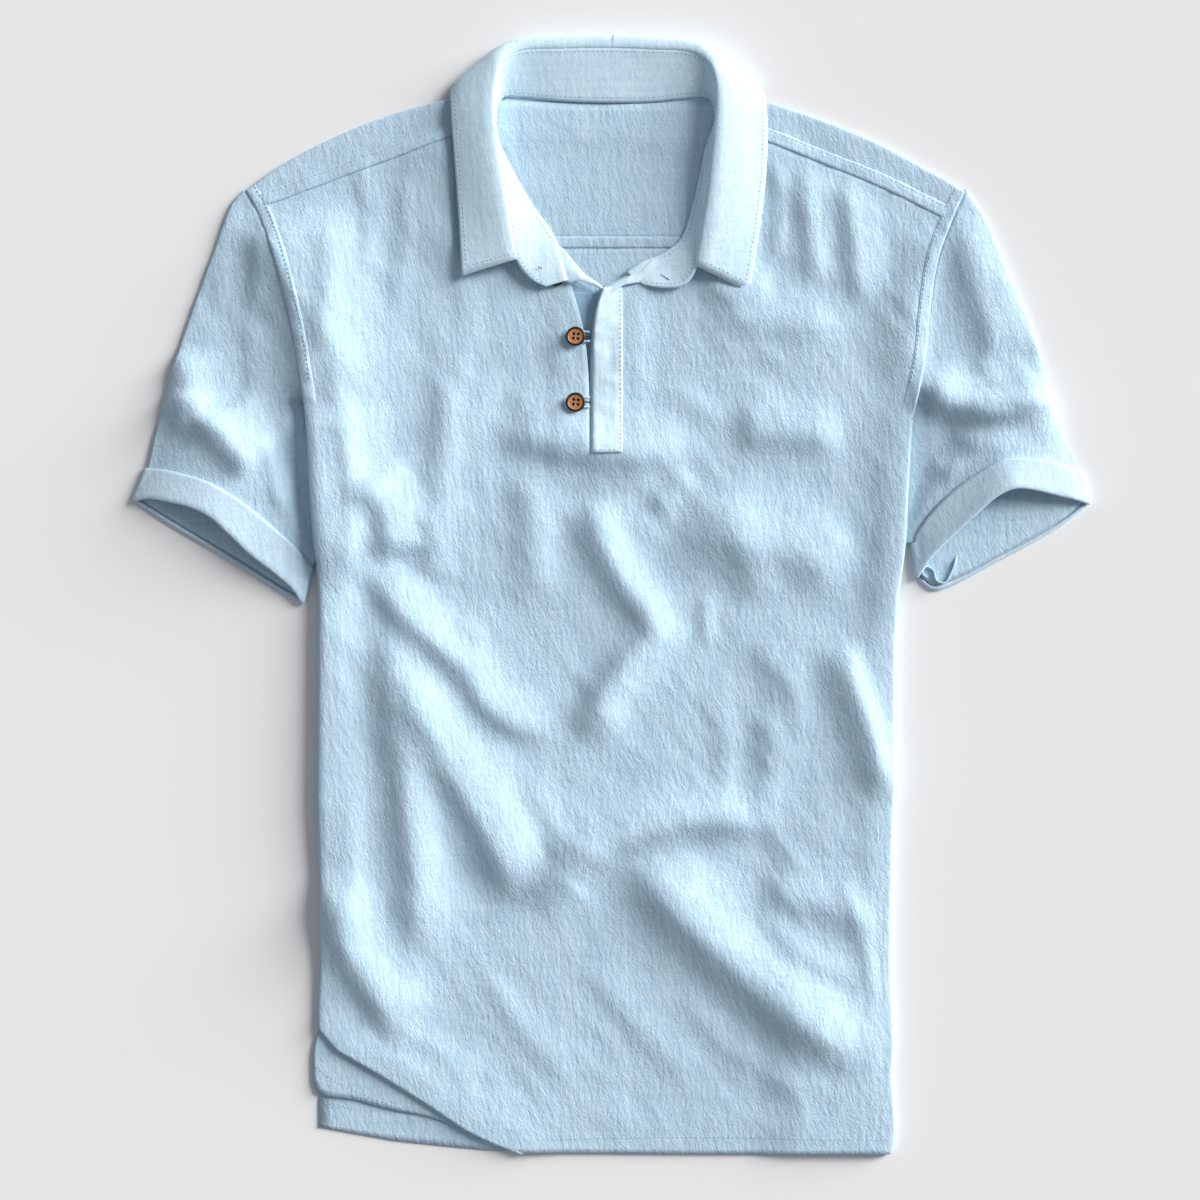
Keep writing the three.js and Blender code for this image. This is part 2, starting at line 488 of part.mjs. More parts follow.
// The pleat: from the turned-under edge of the lower left the cloth comes back out, onto the back panel.
const pleatStart = leftUpper.length + heights.findIndex((y) => y < -286);
const pleatEnds = leftTurn.slice(pleatStart).map((row) => row.at(-1));
const cornerLine = [...pleatCorner.outer, [-173, -337], [-159, -341], [-142, -345], [-125, -348], [-109, -353], [-84, -364], [-62, -370]];
const cornerPoints = along(cornerLine, pleatEnds.length - 1);
const pleatPatch = pleatEnds.map((end, i) => {
  const row = [...leftUpper, ...leftRows][pleatStart + i];
  const depth = end.z - pleatCorner.top;
  const bend = end.clone().addScaledVector(row.inward, 1.2).setZ(end.z - depth / 2);
  const back = end.clone().setZ(pleatCorner.top);
  const out = cornerPoints[i].clone().setZ(pleatCorner.top);
  return [end, bend, back, back.clone().lerp(out, 0.5), out];
});

// Back panel: flat on the floor in the middle, thicker over the turned-under sides, and inside the sides elsewhere.
const backHeight = (x, y) => {
  const over = overSides(x, y);
  const thick = mix(half, doubled, over);
  return mix(floorLayer, cloth + gap + thick, over);
};
const backHalfAt = (point) => mix(half, doubled, overSides(point.x, point.y));
function backEdge(table, armhole, sign, y) {
  const row = sideAt(table, y);
  if (y > 60) return seamX(armhole, y) + sign * 0.3;
  const inside = row.x + sign * (row.reach + 3);
  const outside = row.x + sign * 9;
  if (sign > 0) {
    const corner = mix(inside, -196, smooth(-280, -296, y));
    return mix(corner, outside, smooth(-46, -60, y) * smooth(-206, -194, y));
  }
  return mix(mix(seamX(armhole, y) - seam, inside, smooth(60, 30, y)), outside, smooth(-46, -60, y));
}
const backHeights = [yokeSeamLine, 220, 199, 178, 157, 136, 116, 92, 66, 50, 34, 14, -8, -26, -35, -46, -60, -90,
  -120, -150, -180, -194, -208, -230, -256, -280, -296, -320, -340];
function backRow(y, depth = () => y) {
  const left = new THREE.Vector3(backEdge(leftSide, leftArmhole, 1, y), 0, 0);
  const right = new THREE.Vector3(backEdge(rightSide, rightArmhole, -1, y), 0, 0);
  const [inLeft, inRight] = [new THREE.Vector3(-136, 0, 0), new THREE.Vector3(127, 0, 0)];
  const row = [...straight(left, inLeft, 2), ...straight(inLeft, inRight, 10).slice(1)];
  return [...row, ...straight(inRight, right, 2).slice(1)].map((p) => p.setY(depth(p.x)));
}
const footAt = (x) => seamX(backFoot.map(([a, b]) => [b, -a]), -x);
const backRows = [
  ...backHeights.map((y) => backRow(y)),
  backRow(-356, (x) => mix(-340, footAt(x), 0.5)),
  backRow(-366, footAt),
];
const backPanel = wall([liftedTo(backRows, backHeight)], backHalfAt);

// Yoke: its back lies on the floor and on the collar, turns over at the shoulders and ends at the front seams.
const yokeBackHeight = (x, y) => floorLayer + collarRise(x, y);
const shoulderColumns = 8;
const neckColumns = 7;
const leftShoulderLine = along(leftShoulder, shoulderColumns);
const rightShoulderLine = along(rightShoulder, shoulderColumns);
const backNeck = along([[-80, 331.5], [-57, 330.5], [-4, 328.5], [52, 330.5], [72, 331.5]], neckColumns);
const turnDepth = 1.5; // from the shoulder edge in to the crest of its turn
const shoulderInner = [
  ...leftShoulderLine.map((p) => new THREE.Vector3(p.x + 0.8, p.y - turnDepth, 0)),
  ...backNeck.slice(1, -1),
  ...rightShoulderLine.map((p) => new THREE.Vector3(p.x - 0.8, p.y - turnDepth, 0)),
];
const yokeFoot = straight(
  new THREE.Vector3(-227, yokeSeamLine + seam, 0),
  new THREE.Vector3(220, yokeSeamLine + seam, 0),
  shoulderInner.length - 1,
);
const yokeRows = [0, 0.1, 0.2, 0.36, 0.66, 1];
const yokeBorder = (armhole, from, to, inset) => yokeRows.map((t, i) => {
  if (i === 0) return from;
  if (i === yokeRows.length - 1) return to;
  const y = mix(from.y, to.y, t);
  return new THREE.Vector3(seamX(armhole, y) + inset, y, 0);
});
const leftSideLine = yokeBorder(leftArmhole, shoulderInner[0], yokeFoot[0], 0.5);
const rightSideLine = yokeBorder(rightArmhole, shoulderInner.at(-1), yokeFoot.at(-1), -0.5);
const yokeBack = liftedTo(filled(leftSideLine, rightSideLine, shoulderInner, yokeFoot), yokeBackHeight);
function shoulderStrip(lower, edgeLine, seamLine) {
  const front = along(seamLine, shoulderColumns);
  const rows = lower.map((bottom, i) => {
    const edge = edgeLine[i];
    const crest = bottom.clone().setZ(bottom.z + 2 * turnDepth);
    const turn = [0.75, 0.5, 0.25].map((part) => {
      const angle = Math.PI * part;
      const middle = bottom.z + turnDepth;
      const reach = Math.sin(angle);
      return new THREE.Vector3(
        mix(bottom.x, edge.x, reach),
        mix(bottom.y, edge.y, reach),
        middle + turnDepth * Math.cos(angle),
      );
    });
    const end = front[i].clone();
    end.y += seam;
    end.z = topHeight(end.x, end.y);
    const flat = crest.clone().lerp(end, 0.5);
    flat.z = mix(crest.z, topHeight(flat.x, flat.y), 0.6);
    return [bottom, ...turn, crest, flat, end];
  });
  return rows;
}
const leftStrip = shoulderStrip(yokeBack[0].slice(0, shoulderColumns + 1), leftShoulderLine, leftYokeSeam);
const rightStrip = shoulderStrip(yokeBack[0].slice(-shoulderColumns - 1), rightShoulderLine, rightYokeSeam.toReversed());
const yoke = wall([yokeBack, leftStrip, rightStrip]);

const front = wall([mainRows, leftHalf, rightHalf, leftTurn, rightTurn, pleatPatch]);

// Sleeves: rings from the armhole to just short of the mouth. The last rows are inside the cuff.
const across = 11; // columns over the upper side of a sleeve, and under it
const downTo = 9; // rows from the armhole to the cuff line
const insideCuff = 2;
function sleeveRings(shape, sign) {
  const table = sign > 0 ? rightSide : leftSide;
  const armhole = shape.heights.map((y) => new THREE.Vector3(seamX(shape.armhole, y) + sign * 0.7, y, 0));
  const outer = [armhole[0], ...along(shape.outer, downTo).slice(1)];
  const inner = [armhole.at(-1), ...along(shape.inner, downTo).slice(1)];
  const upper = filled(
    outer,
    inner,
    armhole,
    inPlan(along(shape.cuffLine, across)),
  );
  const cuffTop = along(shape.cuffLine, across);
  const mouthTop = along(shape.mouth, across);
  const mouthUnder = along(shape.mouthUnder, across);
  const cuffUnder = along(shape.cuffLineUnder, across);
  const under = filled(outer, inner, armhole, cuffUnder);
  const rings = [];
  for (let i = 0; i <= downTo + insideCuff; i++) {
    const into = Math.max(0, (i - downTo) / insideCuff) * 0.86;
    const top = [];
    const bottom = [];
    for (let j = 0; j <= across; j++) {
      const down = Math.min(1, i / downTo);
      const a = i <= downTo ? upper[i][j].clone() : cuffTop[j].clone().lerp(mouthTop[j], into);
      const b = i <= downTo ? under[i][j].clone() : cuffUnder[j].clone().lerp(mouthUnder[j], into);
      const low = floorLayer + cuffLift * smooth(0.72, 0.92, down);
      const body = sideAt(table, a.y).x;
      const clear = a.y > 138 ? 1 : smooth(2, 16, sign * (a.x - body));
      const free = smooth(140, 128, a.y);
      const plain = mix(frontLayer, topHeight(a.x, a.y), 1 - free);
      const loose = plain + relief(a.x, a.y) * clear * free;
      const arch = mix(cuffTop[j].z, mouthTop[j].z, into);
      const height = mix(loose, arch, smooth(0.4, 1, down));
      a.z = Math.max(height, low + layer);
      b.z = low;
      top.push(a);
      bottom.push(b);
    }
    rings.push(closedRing(top, bottom));
  }
  return rings;
}

// A ring from the points of an upper and an under side that share their ends: the ends become round turns.
function closedRing(top, bottom) {
  const n = top.length - 1;
  const turn = (k, next) => {
    const inward = new THREE.Vector3(top[next].x - top[k].x, top[next].y - top[k].y, 0).normalize();
    const up = Math.max(top[k].z, bottom[k].z + 2 * 0.85);
    const down = bottom[k].z;
    const edge = new THREE.Vector3(top[k].x, top[k].y, 0);
    const point = (depth, z) => edge.clone().addScaledVector(inward, depth).setZ(z);
    const middle = (up + down) / 2;
    const r = Math.min(1.6, (up - down) / 2);
    return { high: point(r, up), out: [point(r * 0.3, mix(up, middle, 0.3)), point(0, middle), point(r * 0.3, mix(down, middle, 0.3))], low: point(r, down) };
  };
  const [first, last] = [turn(0, 1), turn(n, n - 1)];
  return [
    first.high, ...top.slice(1, -1), last.high, ...last.out, last.low,
    ...bottom.slice(1, -1).toReversed(), first.low, ...first.out.toReversed(), first.high,
  ];
}
const leftRings = sleeveRings(sleeves.left, -1);
const rightRings = sleeveRings(sleeves.right, 1);
const sleeveWall = (rings) => wall([rings]);

// Points of a ring grid moved out along its outward normals.
function movedOut(rings, distance) {
  const n = rings[0].length - 1;
  return rings.map((ring, i) => ring.map((point, j) => {
    const [before, after] = [ring[(j + n - 1) % n], ring[(j + 1) % n]];
    const [back, ahead] = [rings[Math.max(0, i - 1)][j], rings[Math.min(rings.length - 1, i + 1)][j]];
    const normal = after.clone().sub(before).cross(ahead.clone().sub(back)).normalize();
    return point.clone().addScaledVector(normal, distance);
  }));
}

// Turned-up cuff: a band outside the sleeve, round the mouth and a little way back in.
function cuffWall(rings, sign) {
  const inner = rings.slice(downTo);
  inner[0] = inner[0].map((p, j) => p.clone().lerp(inner[1][j], 0.12));
  const lastTwo = inner.slice(-2);
  const step = (amount) => lastTwo[1].map((p, j) => p.clone().addScaledVector(p.clone().sub(lastTwo[0][j]).normalize(), amount));
  const returned = [seam + 0.1, 2.6];
  const grid = [...inner, step(returned[1])];
  const out = movedOut(grid, sign * (layer + 0.15));
  const middle = movedOut(grid, sign * layer / 2);
  const tip = middle.at(-1).map((p, j) => p.clone().addScaledVector(grid.at(-1)[j].clone().sub(grid.at(-2)[j]).normalize(), layer / 2));
  const rows = [...out, tip, step(returned[1]), step(returned[0] + half)];
  return wall([rows.map((row) => { const ring = row.slice(0, -1); return [...ring, ring[0]]; })]);
}

// Collar stand: from its seam with the neck to the fold, standing out a little in between.
function smoothRows(rows, n, keys) {
  const curves = keys.map((key) => curveThrough(rows.map((row) => row[key])));
  return Array.from({ length: n + 1 }, (_, i) => curves.map((curve) => curve.getPoint(i / n)));
}
const standRows = stand.map((row) => {
  const [x, y] = row.neck;
  const z = row.level ?? frontLayer + relief(x, y) * 0.6 + placketRise(x, y) + row.clear;
  return { neck: [x, y, z], fold: row.fold };
});
const standGrid = smoothRows(standRows, 38, ["neck", "fold"]).map(([neck, fold]) => {
  const bow = fold.clone().sub(neck);
  const outward = new THREE.Vector3(bow.x, bow.y, 0).normalize();
  const middle = neck.clone().lerp(fold, 0.5).addScaledVector(outward, 0.6);
  return [neck, middle, fold];
});
const collarStand = wall([standGrid]);

// Leaf: it starts beside the stand's fold, rolls over and comes to lie on the shirt, or under it at the back.
const leafGrid = smoothRows(leaf, 38, ["fold", "crest", "turn", "lie", "edge"]).map((row) => {
  const start = row[0].clone().addScaledVector(row[1].clone().sub(row[0]).normalize(), half + 0.75);
  const points = curveThrough([start, ...row.slice(1)].map((p) => p.toArray())).getPoints(7);
  return points.map((p) => p.setZ(Math.max(p.z, floorLayer)));
});
const collarLeaf = wall([leafGrid]);

// Placket: the strip that lies on the right edge of the opening, and the one that lies under its left edge.
function strip(left, right, rows, height) {
  const [a, b] = [along(left, rows), along(right, rows)];
  const grid = a.map((p, i) => straight(p, b[i], 2));
  return liftedTo(grid, height);
}
const placketTop = wall([strip(
  [[-13.6, 95], [-13.2, 140], [-12.2, 178], [-6, 204]],
  [[7, 95.5], [7, 140], [7, 178], [7, 207]],
  8,
  (x, y) => topHeight(x, y) + layer + 0.1,
)]);
const placketUnder = wall([strip(
  [[-20, 93], [-20, 140], [-20.5, 178], [-21, 204]],
  [[0.5, 93], [0.5, 140], [0.5, 178], [-4, 202]],
  8,
  () => frontLayer,
)]);

// Buttons: flat discs with a raised rim and a shallow dish, and the loops of cord that hold them.
function button(x, y, z) {
  const profile = [
    [0, 0], [4.6, 0], [buttonRadius, 0.9], [buttonRadius, 1.7], [5.7, buttonThickness], [4.9, buttonThickness],
    [4, 1.8], [0, 1.7],
  ];
  const geometry = new THREE.LatheGeometry(profile.map(([r, h]) => new THREE.Vector2(r, h)), 18);
  geometry.rotateX(Math.PI / 2);
  geometry.translate(x, y, z);
  return sealed(geometry);
}
const loopRadius = 0.7;
function loop(x, y) {
  const z = Math.max(...[[0, 0], [-6, 0], [6, 4], [6, -4]].map(([a, b]) => topHeight(x + a, y + b))) + half + 0.3 + loopRadius;
  const path = curveThrough([
    [x + 8.6, y + 3, z], [x + 3, y + 3.4, z], [x - 2.4, y + 2.6, z], [x - 4, y, z], [x - 2.4, y - 2.6, z],
    [x + 3, y - 3.4, z], [x + 8.6, y - 3, z],
  ]);
  return { z, geometry: tube(path, 14, 6, loopRadius) };
}

// A closed tube round a path, with flat ends.
function tube(path, steps, round, radius) {
  const rings = [];
  for (let i = 0; i <= steps; i++) {
    const point = path.getPointAt(i / steps);
    const tangent = path.getTangentAt(i / steps);
    const side = new THREE.Vector3(-tangent.y, tangent.x, 0).normalize();
    rings.push(Array.from({ length: round }, (_, k) => {
      const angle = (2 * Math.PI * k) / round;
      return point.clone().addScaledVector(side, radius * Math.cos(angle)).add(new THREE.Vector3(0, 0, radius * Math.sin(angle)));
    }));
  }
  const points = [...rings.flat(), path.getPointAt(0), path.getPointAt(1)];
  const index = [];
  for (let i = 0; i < steps; i++) {
    for (let k = 0; k < round; k++) {
      const [a, b] = [i * round + k, i * round + ((k + 1) % round)];
      index.push(a, b, b + round, a, b + round, a + round);
    }
  }
  const [startCap, endCap] = [rings.length * round, rings.length * round + 1];
  for (let k = 0; k < round; k++) {
    const next = (k + 1) % round;
    index.push(startCap, next, k, endCap, steps * round + k, steps * round + next);
  }
  const geometry = new THREE.BufferGeometry();
  geometry.setAttribute("position", new THREE.Float32BufferAttribute(points.flatMap((p) => p.toArray()), 3));
  geometry.setIndex(index);
  return facingOut(geometry);
}

// Joins the doubled vertices of a lathe so that it is one closed surface.
function sealed(geometry) {
  const position = geometry.getAttribute("position");
  const keys = new Map();
  const points = [];
  const of = Array.from({ length: position.count }, (_, i) => {
    const p = new THREE.Vector3().fromBufferAttribute(position, i);
    const key = p.toArray().map((value) => Math.round(value * 1000)).join();
    if (!keys.has(key)) {
      keys.set(key, points.length);
      points.push(p);
    }
    return keys.get(key);
  });
  const index = [];
  for (let i = 0; i < geometry.index.count; i += 3) {
    const face = [0, 1, 2].map((k) => of[geometry.index.getX(i + k)]);
    if (new Set(face).size === 3) index.push(...face);
  }
  const result = new THREE.BufferGeometry();
  result.setAttribute("position", new THREE.Float32BufferAttribute(points.flatMap((p) => p.toArray()), 3));
  result.setIndex(index);
  return facingOut(result);
}
const loops = [loop(-24, 173), loop(-24, 129)];
const buttonClear = loopRadius + gap;

const group = new THREE.Group();
group.name = "popover_shirt";
function addPiece(name, geometry, colour, slot) {
  const material = new THREE.MeshStandardMaterial({ color: colour, roughness: slot === "button_wood" ? 0.55 : 0.9, metalness: 0 });
  material.name = slot;
  const mesh = new THREE.Mesh(geometry, material);
  mesh.name = name;
  group.add(mesh);
}
addPiece("front_panel", front, colours.cloth, "shirt_cloth");
addPiece("back_panel", backPanel, colours.cloth, "shirt_cloth");
addPiece("back_yoke", yoke, colours.cloth, "shirt_cloth");
addPiece("sleeve_left", sleeveWall(leftRings), colours.cloth, "shirt_cloth");
addPiece("sleeve_right", sleeveWall(rightRings), colours.cloth, "shirt_cloth");
addPiece("cuff_left", cuffWall(leftRings, -1), colours.cloth, "shirt_cloth");
addPiece("cuff_right", cuffWall(rightRings, 1), colours.cloth, "shirt_cloth");
addPiece("collar_stand", collarStand, colours.facing, "shirt_cloth");
addPiece("collar_leaf", collarLeaf, colours.facing, "shirt_cloth");
addPiece("placket_top", placketTop, colours.facing, "shirt_cloth");
addPiece("placket_under", placketUnder, colours.facing, "shirt_cloth");
addPiece("button_upper", button(-24, 173, loops[0].z + buttonClear), colours.wood, "button_wood");
addPiece("button_lower", button(-24, 129, loops[1].z + buttonClear), colours.wood, "button_wood");
addPiece("button_loop_upper", loops[0].geometry, colours.facing, "shirt_cloth");
addPiece("button_loop_lower", loops[1].geometry, colours.facing, "shirt_cloth");

export default group;
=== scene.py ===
import math

import bmesh
import bpy
import numpy as np
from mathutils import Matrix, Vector


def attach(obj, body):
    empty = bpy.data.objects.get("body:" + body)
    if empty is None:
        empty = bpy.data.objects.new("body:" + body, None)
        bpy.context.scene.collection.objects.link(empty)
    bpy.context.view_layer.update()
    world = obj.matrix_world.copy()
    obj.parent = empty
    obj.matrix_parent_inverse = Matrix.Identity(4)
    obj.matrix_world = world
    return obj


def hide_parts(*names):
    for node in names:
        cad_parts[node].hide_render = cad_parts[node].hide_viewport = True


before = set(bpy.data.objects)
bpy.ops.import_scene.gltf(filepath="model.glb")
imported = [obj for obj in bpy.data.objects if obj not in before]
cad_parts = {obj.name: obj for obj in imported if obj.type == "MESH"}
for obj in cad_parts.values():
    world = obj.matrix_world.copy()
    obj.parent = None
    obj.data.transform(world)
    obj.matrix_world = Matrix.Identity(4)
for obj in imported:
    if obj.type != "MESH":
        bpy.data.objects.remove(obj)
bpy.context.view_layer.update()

# A light blue crinkled popover shirt that lies flat on its back. Tables are in millimetres and MM turns them
# into metres. The floor is z = 0, the collar points to +Y and "left" is -X, as the camera sees it.
MM = 0.001
HALF = 0.5  # half the thickness of one wall of cloth
LAYER = 1.5  # rise from one layer to the next
FLOOR = 0.6
FRONT = FLOOR + LAYER
SLIT_FOOT = 94
HEM = -373.5
YOKE_SEAM = 237
FOLD_GAIN = 1.5  # how much deeper the folds are than in the plain solids
STEP = 3.3  # spacing of the points of the large panels
BAND_HALF = 0.22  # half the thickness of a raised seam
SLIT_X = -14.6  # where the placket's slit ends
PLEAT_TOP = -286  # below this the left side of the front folds out and up
PLEAT_LEVEL = 2.2  # height of the pleat's lower layer
TURNED_LEFT, TURNED_RIGHT = -136, 127  # how far in the sides reach under the shirt
OVER_SIDES, OVER_SIDES_HALF = 2.85, 1.3  # height and half thickness of the back where it lies on them

# Folds: crest, rise, how far it falls away on its lit side and on its other side.
FOLDS = [
    ([(-142, 6), (-146, -40), (-143, -90), (-132, -170), (-128, -262)], 5, 22, 13),
    ([(-160, 36), (-148, 0), (-120, -28), (-98, -50), (-80, -76), (-55, -88), (-24, -93)], 5, 18, 10),
    ([(-140, -44), (-108, -110), (-76, -170), (-50, -214)], 7, 26, 14),
    ([(-192, -180), (-177, -232), (-152, -274), (-130, -298)], 6.2, 24, 11),
    ([(-12, 72), (-9, 44), (2, 20), (24, -11), (42, -24)], 5, 13, 12),
    ([(-58, 92), (-52, 40), (-50, -10)], 2.6, 14, 14),
    ([(-86, 114), (-35, 101), (10, 94), (30, 96), (62, 104)], 4.4, 22, 11),
    ([(78, 111), (118, 108), (158, 106)], 3.6, 20, 11),
    ([(40, 45), (100, 34), (168, 22)], 4.6, 24, 19),
    ([(50, -14), (20, -36), (0, -62), (-16, -102)], 4.6, 14, 13),
    ([(150, -26), (168, -80), (188, -142)], 5, 9, 15),
    ([(-60, -212), (-30, -182), (0, -164), (59, -149), (125, -152)], 7, 17, 13),
    ([(4, -164), (40, -206), (106, -268), (150, -298), (188, -306)], 8, 27, 17),
    ([(-190, 262), (-187, 215), (-194, 150)], 2.6, 18, 10),
    ([(130, 292), (132, 255), (138, 205)], 2.6, 8, 9),
    ([(154, 284), (162, 240), (168, 190)], 2.6, 9, 9),
    ([(222, 252), (207, 215), (201, 180), (198, 136)], 3.2, 10, 18),
    ([(-290, 168), (-288, 138), (-282, 100)], 6.5, 18, 10),
    ([(-234, 262), (-221, 228), (-209, 190), (-202, 158), (-197, 118)], 8, 40, 18),
    ([(-198, 146), (-196, 100), (-193, 50), (-186, 0)], 5.2, 38, 12),
    ([(196, 138), (234, 126), (264, 124), (286, 134), (300, 146)], 7, 18, 9),
    ([(-113, 326), (-109, 280), (-108, 215)], 2.8, 6, 30),
    ([(230, 262), (246, 205), (262, 150)], 3.6, 18, 12),
    ([(-274, 122), (-258, 98), (-240, 78)], 6.5, 28, 12),
    ([(280, 158), (288, 120), (298, 84)], 4, 20, 16),
    ([(-168, 84), (-150, 54), (-146, 20)], 6, 24, 12),
    ([(96, -196), (140, -206), (182, -222)], 2.4, 14, 12),
    ([(60, 214), (80, 204), (110, 206)], 2.4, 14, 10),
    ([(56, 196), (110, 180), (160, 186)], 2.6, 18, 12),
    ([(80, 70), (90, 30), (104, -10)], 2.2, 14, 13),
    ([(100, -70), (106, -110), (98, -150)], 2.2, 12, 11),
    ([(-104, 150), (-112, 90), (-106, 30)], 2.4, 18, 16),
]
# Side of the body from the top down: y, x, reach under the shirt, height there, crest height, radius.
LEFT_SIDE = [
    (128, -205, 3, 4.6, 7.2, 1.1),
    (108, -203, 6, 3.9, 8.6, 1.32),
    (71, -201, 13, 3.7, 10.2, 1.51),
    (44, -199, 17, 3.9, 10.8, 1.6),
    (18, -196, 22, 3.9, 10.8, 1.6),
    (-4, -195, 42, 2, 10.8, 1.6),
    (-25, -195, 50, 0.6, 11.2, 1.5),
    (-137, -196, 50, 0.6, 11.4, 1.5),
    (-205, -194, 50, 0.6, 8.2, 1.5),
    (-243, -194, 34, 0.6, 7.4, 1.51),
    (-275, -196, 9, 0.9, 5.7, 1.8),
    (-290, -195, 8, 4.4, 6.8, 1.1),
    (-304, -183, 11, 4.4, 6.8, 1.1),
    (-320, -155, 14, 4.4, 6.8, 1.1),
    (-340, -123, 14, 4.2, 6.6, 1.1),
    (-357, -98, 12, 3.8, 6.1, 1.1),
    (-366, -80, 9, 3.6, 5.9, 1.1),
    (-373.5, -60, 6, 3.6, 5.2, 1.1),
]

RIGHT_SIDE = [
    (128, 202, 3, 4.6, 6.2, 1.1),
    (108, 200, 6, 3.9, 7, 1.65),
    (71, 198, 14, 3.7, 8.5, 2),
    (37, 196.5, 19, 3.9, 8.9, 2.21),
    (24, 195, 22, 3.9, 8.9, 2.21),
    (2, 192, 42, 2, 8.4, 2.31),
    (-28, 190, 50, 0.6, 7.8, 2.31),
    (-137, 189, 50, 0.6, 7.3, 2.31),
    (-204, 187, 50, 0.6, 7.2, 2.31),
    (-258, 186.5, 50, 0.6, 6.8, 2.1),
    (-298, 189, 50, 0.6, 6.8, 2.1),
    (-321, 187, 48, 0.6, 5.6, 1.78),
    (-350, 190, 44, 0.6, 5.4, 2.25),
    (-366, 189.5, 40, 0.6, 5.1, 2.03),
    (-373.5, 186, 38, 0.6, 4.8, 1.88),
]
LEFT_ARMHOLE = [(-244, 272), (-236, 258), (-229, 241), (-222, 220), (-214, 187), (-208, 158),
    (-205, 130), (-199, 104), (-190, 71), (-182, 42)]
RIGHT_ARMHOLE = [(236, 272), (228, 254), (221, 238), (216, 220), (212, 190), (209, 160), (203, 130),
    (197, 104), (188, 71), (178, 36)]
LEFT_YOKE_SEAM = [(-236.9, 259.6), (-199, 273.5), (-163, 287), (-138, 296), (-106, 308), (-78, 317)]
RIGHT_YOKE_SEAM = [(226.7, 251), (182, 273), (143, 289), (105, 304), (70, 317)]
LEFT_SHOULDER = [(-242.6, 272), (-225, 285), (-194, 302), (-157, 318), (-112, 331), (-92, 333),
    (-80, 333)]
RIGHT_SHOULDER = [(72, 333), (88, 333), (104, 330), (138, 319), (177, 303), (209, 286), (234.8, 272)]
LEFT_NECK = [(-78, 317), (-75, 300), (-67, 282), (-57, 265), (-39, 239), (-32, 224), (-27, 208)]
RIGHT_NECK = [(70, 317), (65, 300), (61, 284), (57, 265), (48, 238), (35, 227.5), (19, 221), (6, 212),
    (-7, 206)]
LEFT_SLIT = [(-27, 208), (-19.5, 182), (-15.5, 150), (-14.6, 94)]
RIGHT_SLIT = [(-7, 206), (-13, 178), (-14.6, 94)]
BACK_FOOT = [(-196, -356), (-173, -360), (-145, -365), (-117, -368), (-77, -372), (-20, -371.5),
    (60, -371), (140, -370)]
# Collar stand: seam with the neck and its height over the flat shirt, then the fold at its top.
STAND = [
    ((-31, 210, 4.8), (-44, 206, 8.2)),
    ((-34, 220, 4.4), (-54, 211, 9)),
    ((-39, 238, 2.4), (-64, 224, 11)),
    ((-57, 265, 2), (-71, 262, 16)),
    ((-74.5, 301, 2.5), (-77, 304, 18)),
    ((-77.5, 322, 2.7), (-79, 330, 18)),
    ((-73, 334.5, 1.6), (-74, 356, 15.5)),
    ((-60, 335, 1), (-62, 364, 12)),
    ((-32, 332.5, 0.6), (-32, 366, 10.5)),
    ((-4, 331.5, 0.6), (-4, 366.5, 10)),
    ((26, 332, 0.6), (27, 365.5, 10.5)),
    ((52, 334.5, 1), (55, 363, 12)),
    ((65, 334.5, 1.6), (66, 355, 15.5)),
    ((69.5, 322, 2.7), (71, 330, 18)),
    ((64.5, 301, 2.5), (69, 303, 18)),
    ((57, 265, 2), (65, 266, 16)),
    ((47, 237, 2), (57, 219, 11)),
    ((33, 226.5, 2), (48, 207, 8)),
    ((20, 221, 2), (29, 206, 6.8)),
    ((11, 215, 1.8), (21, 208, 6)),
]
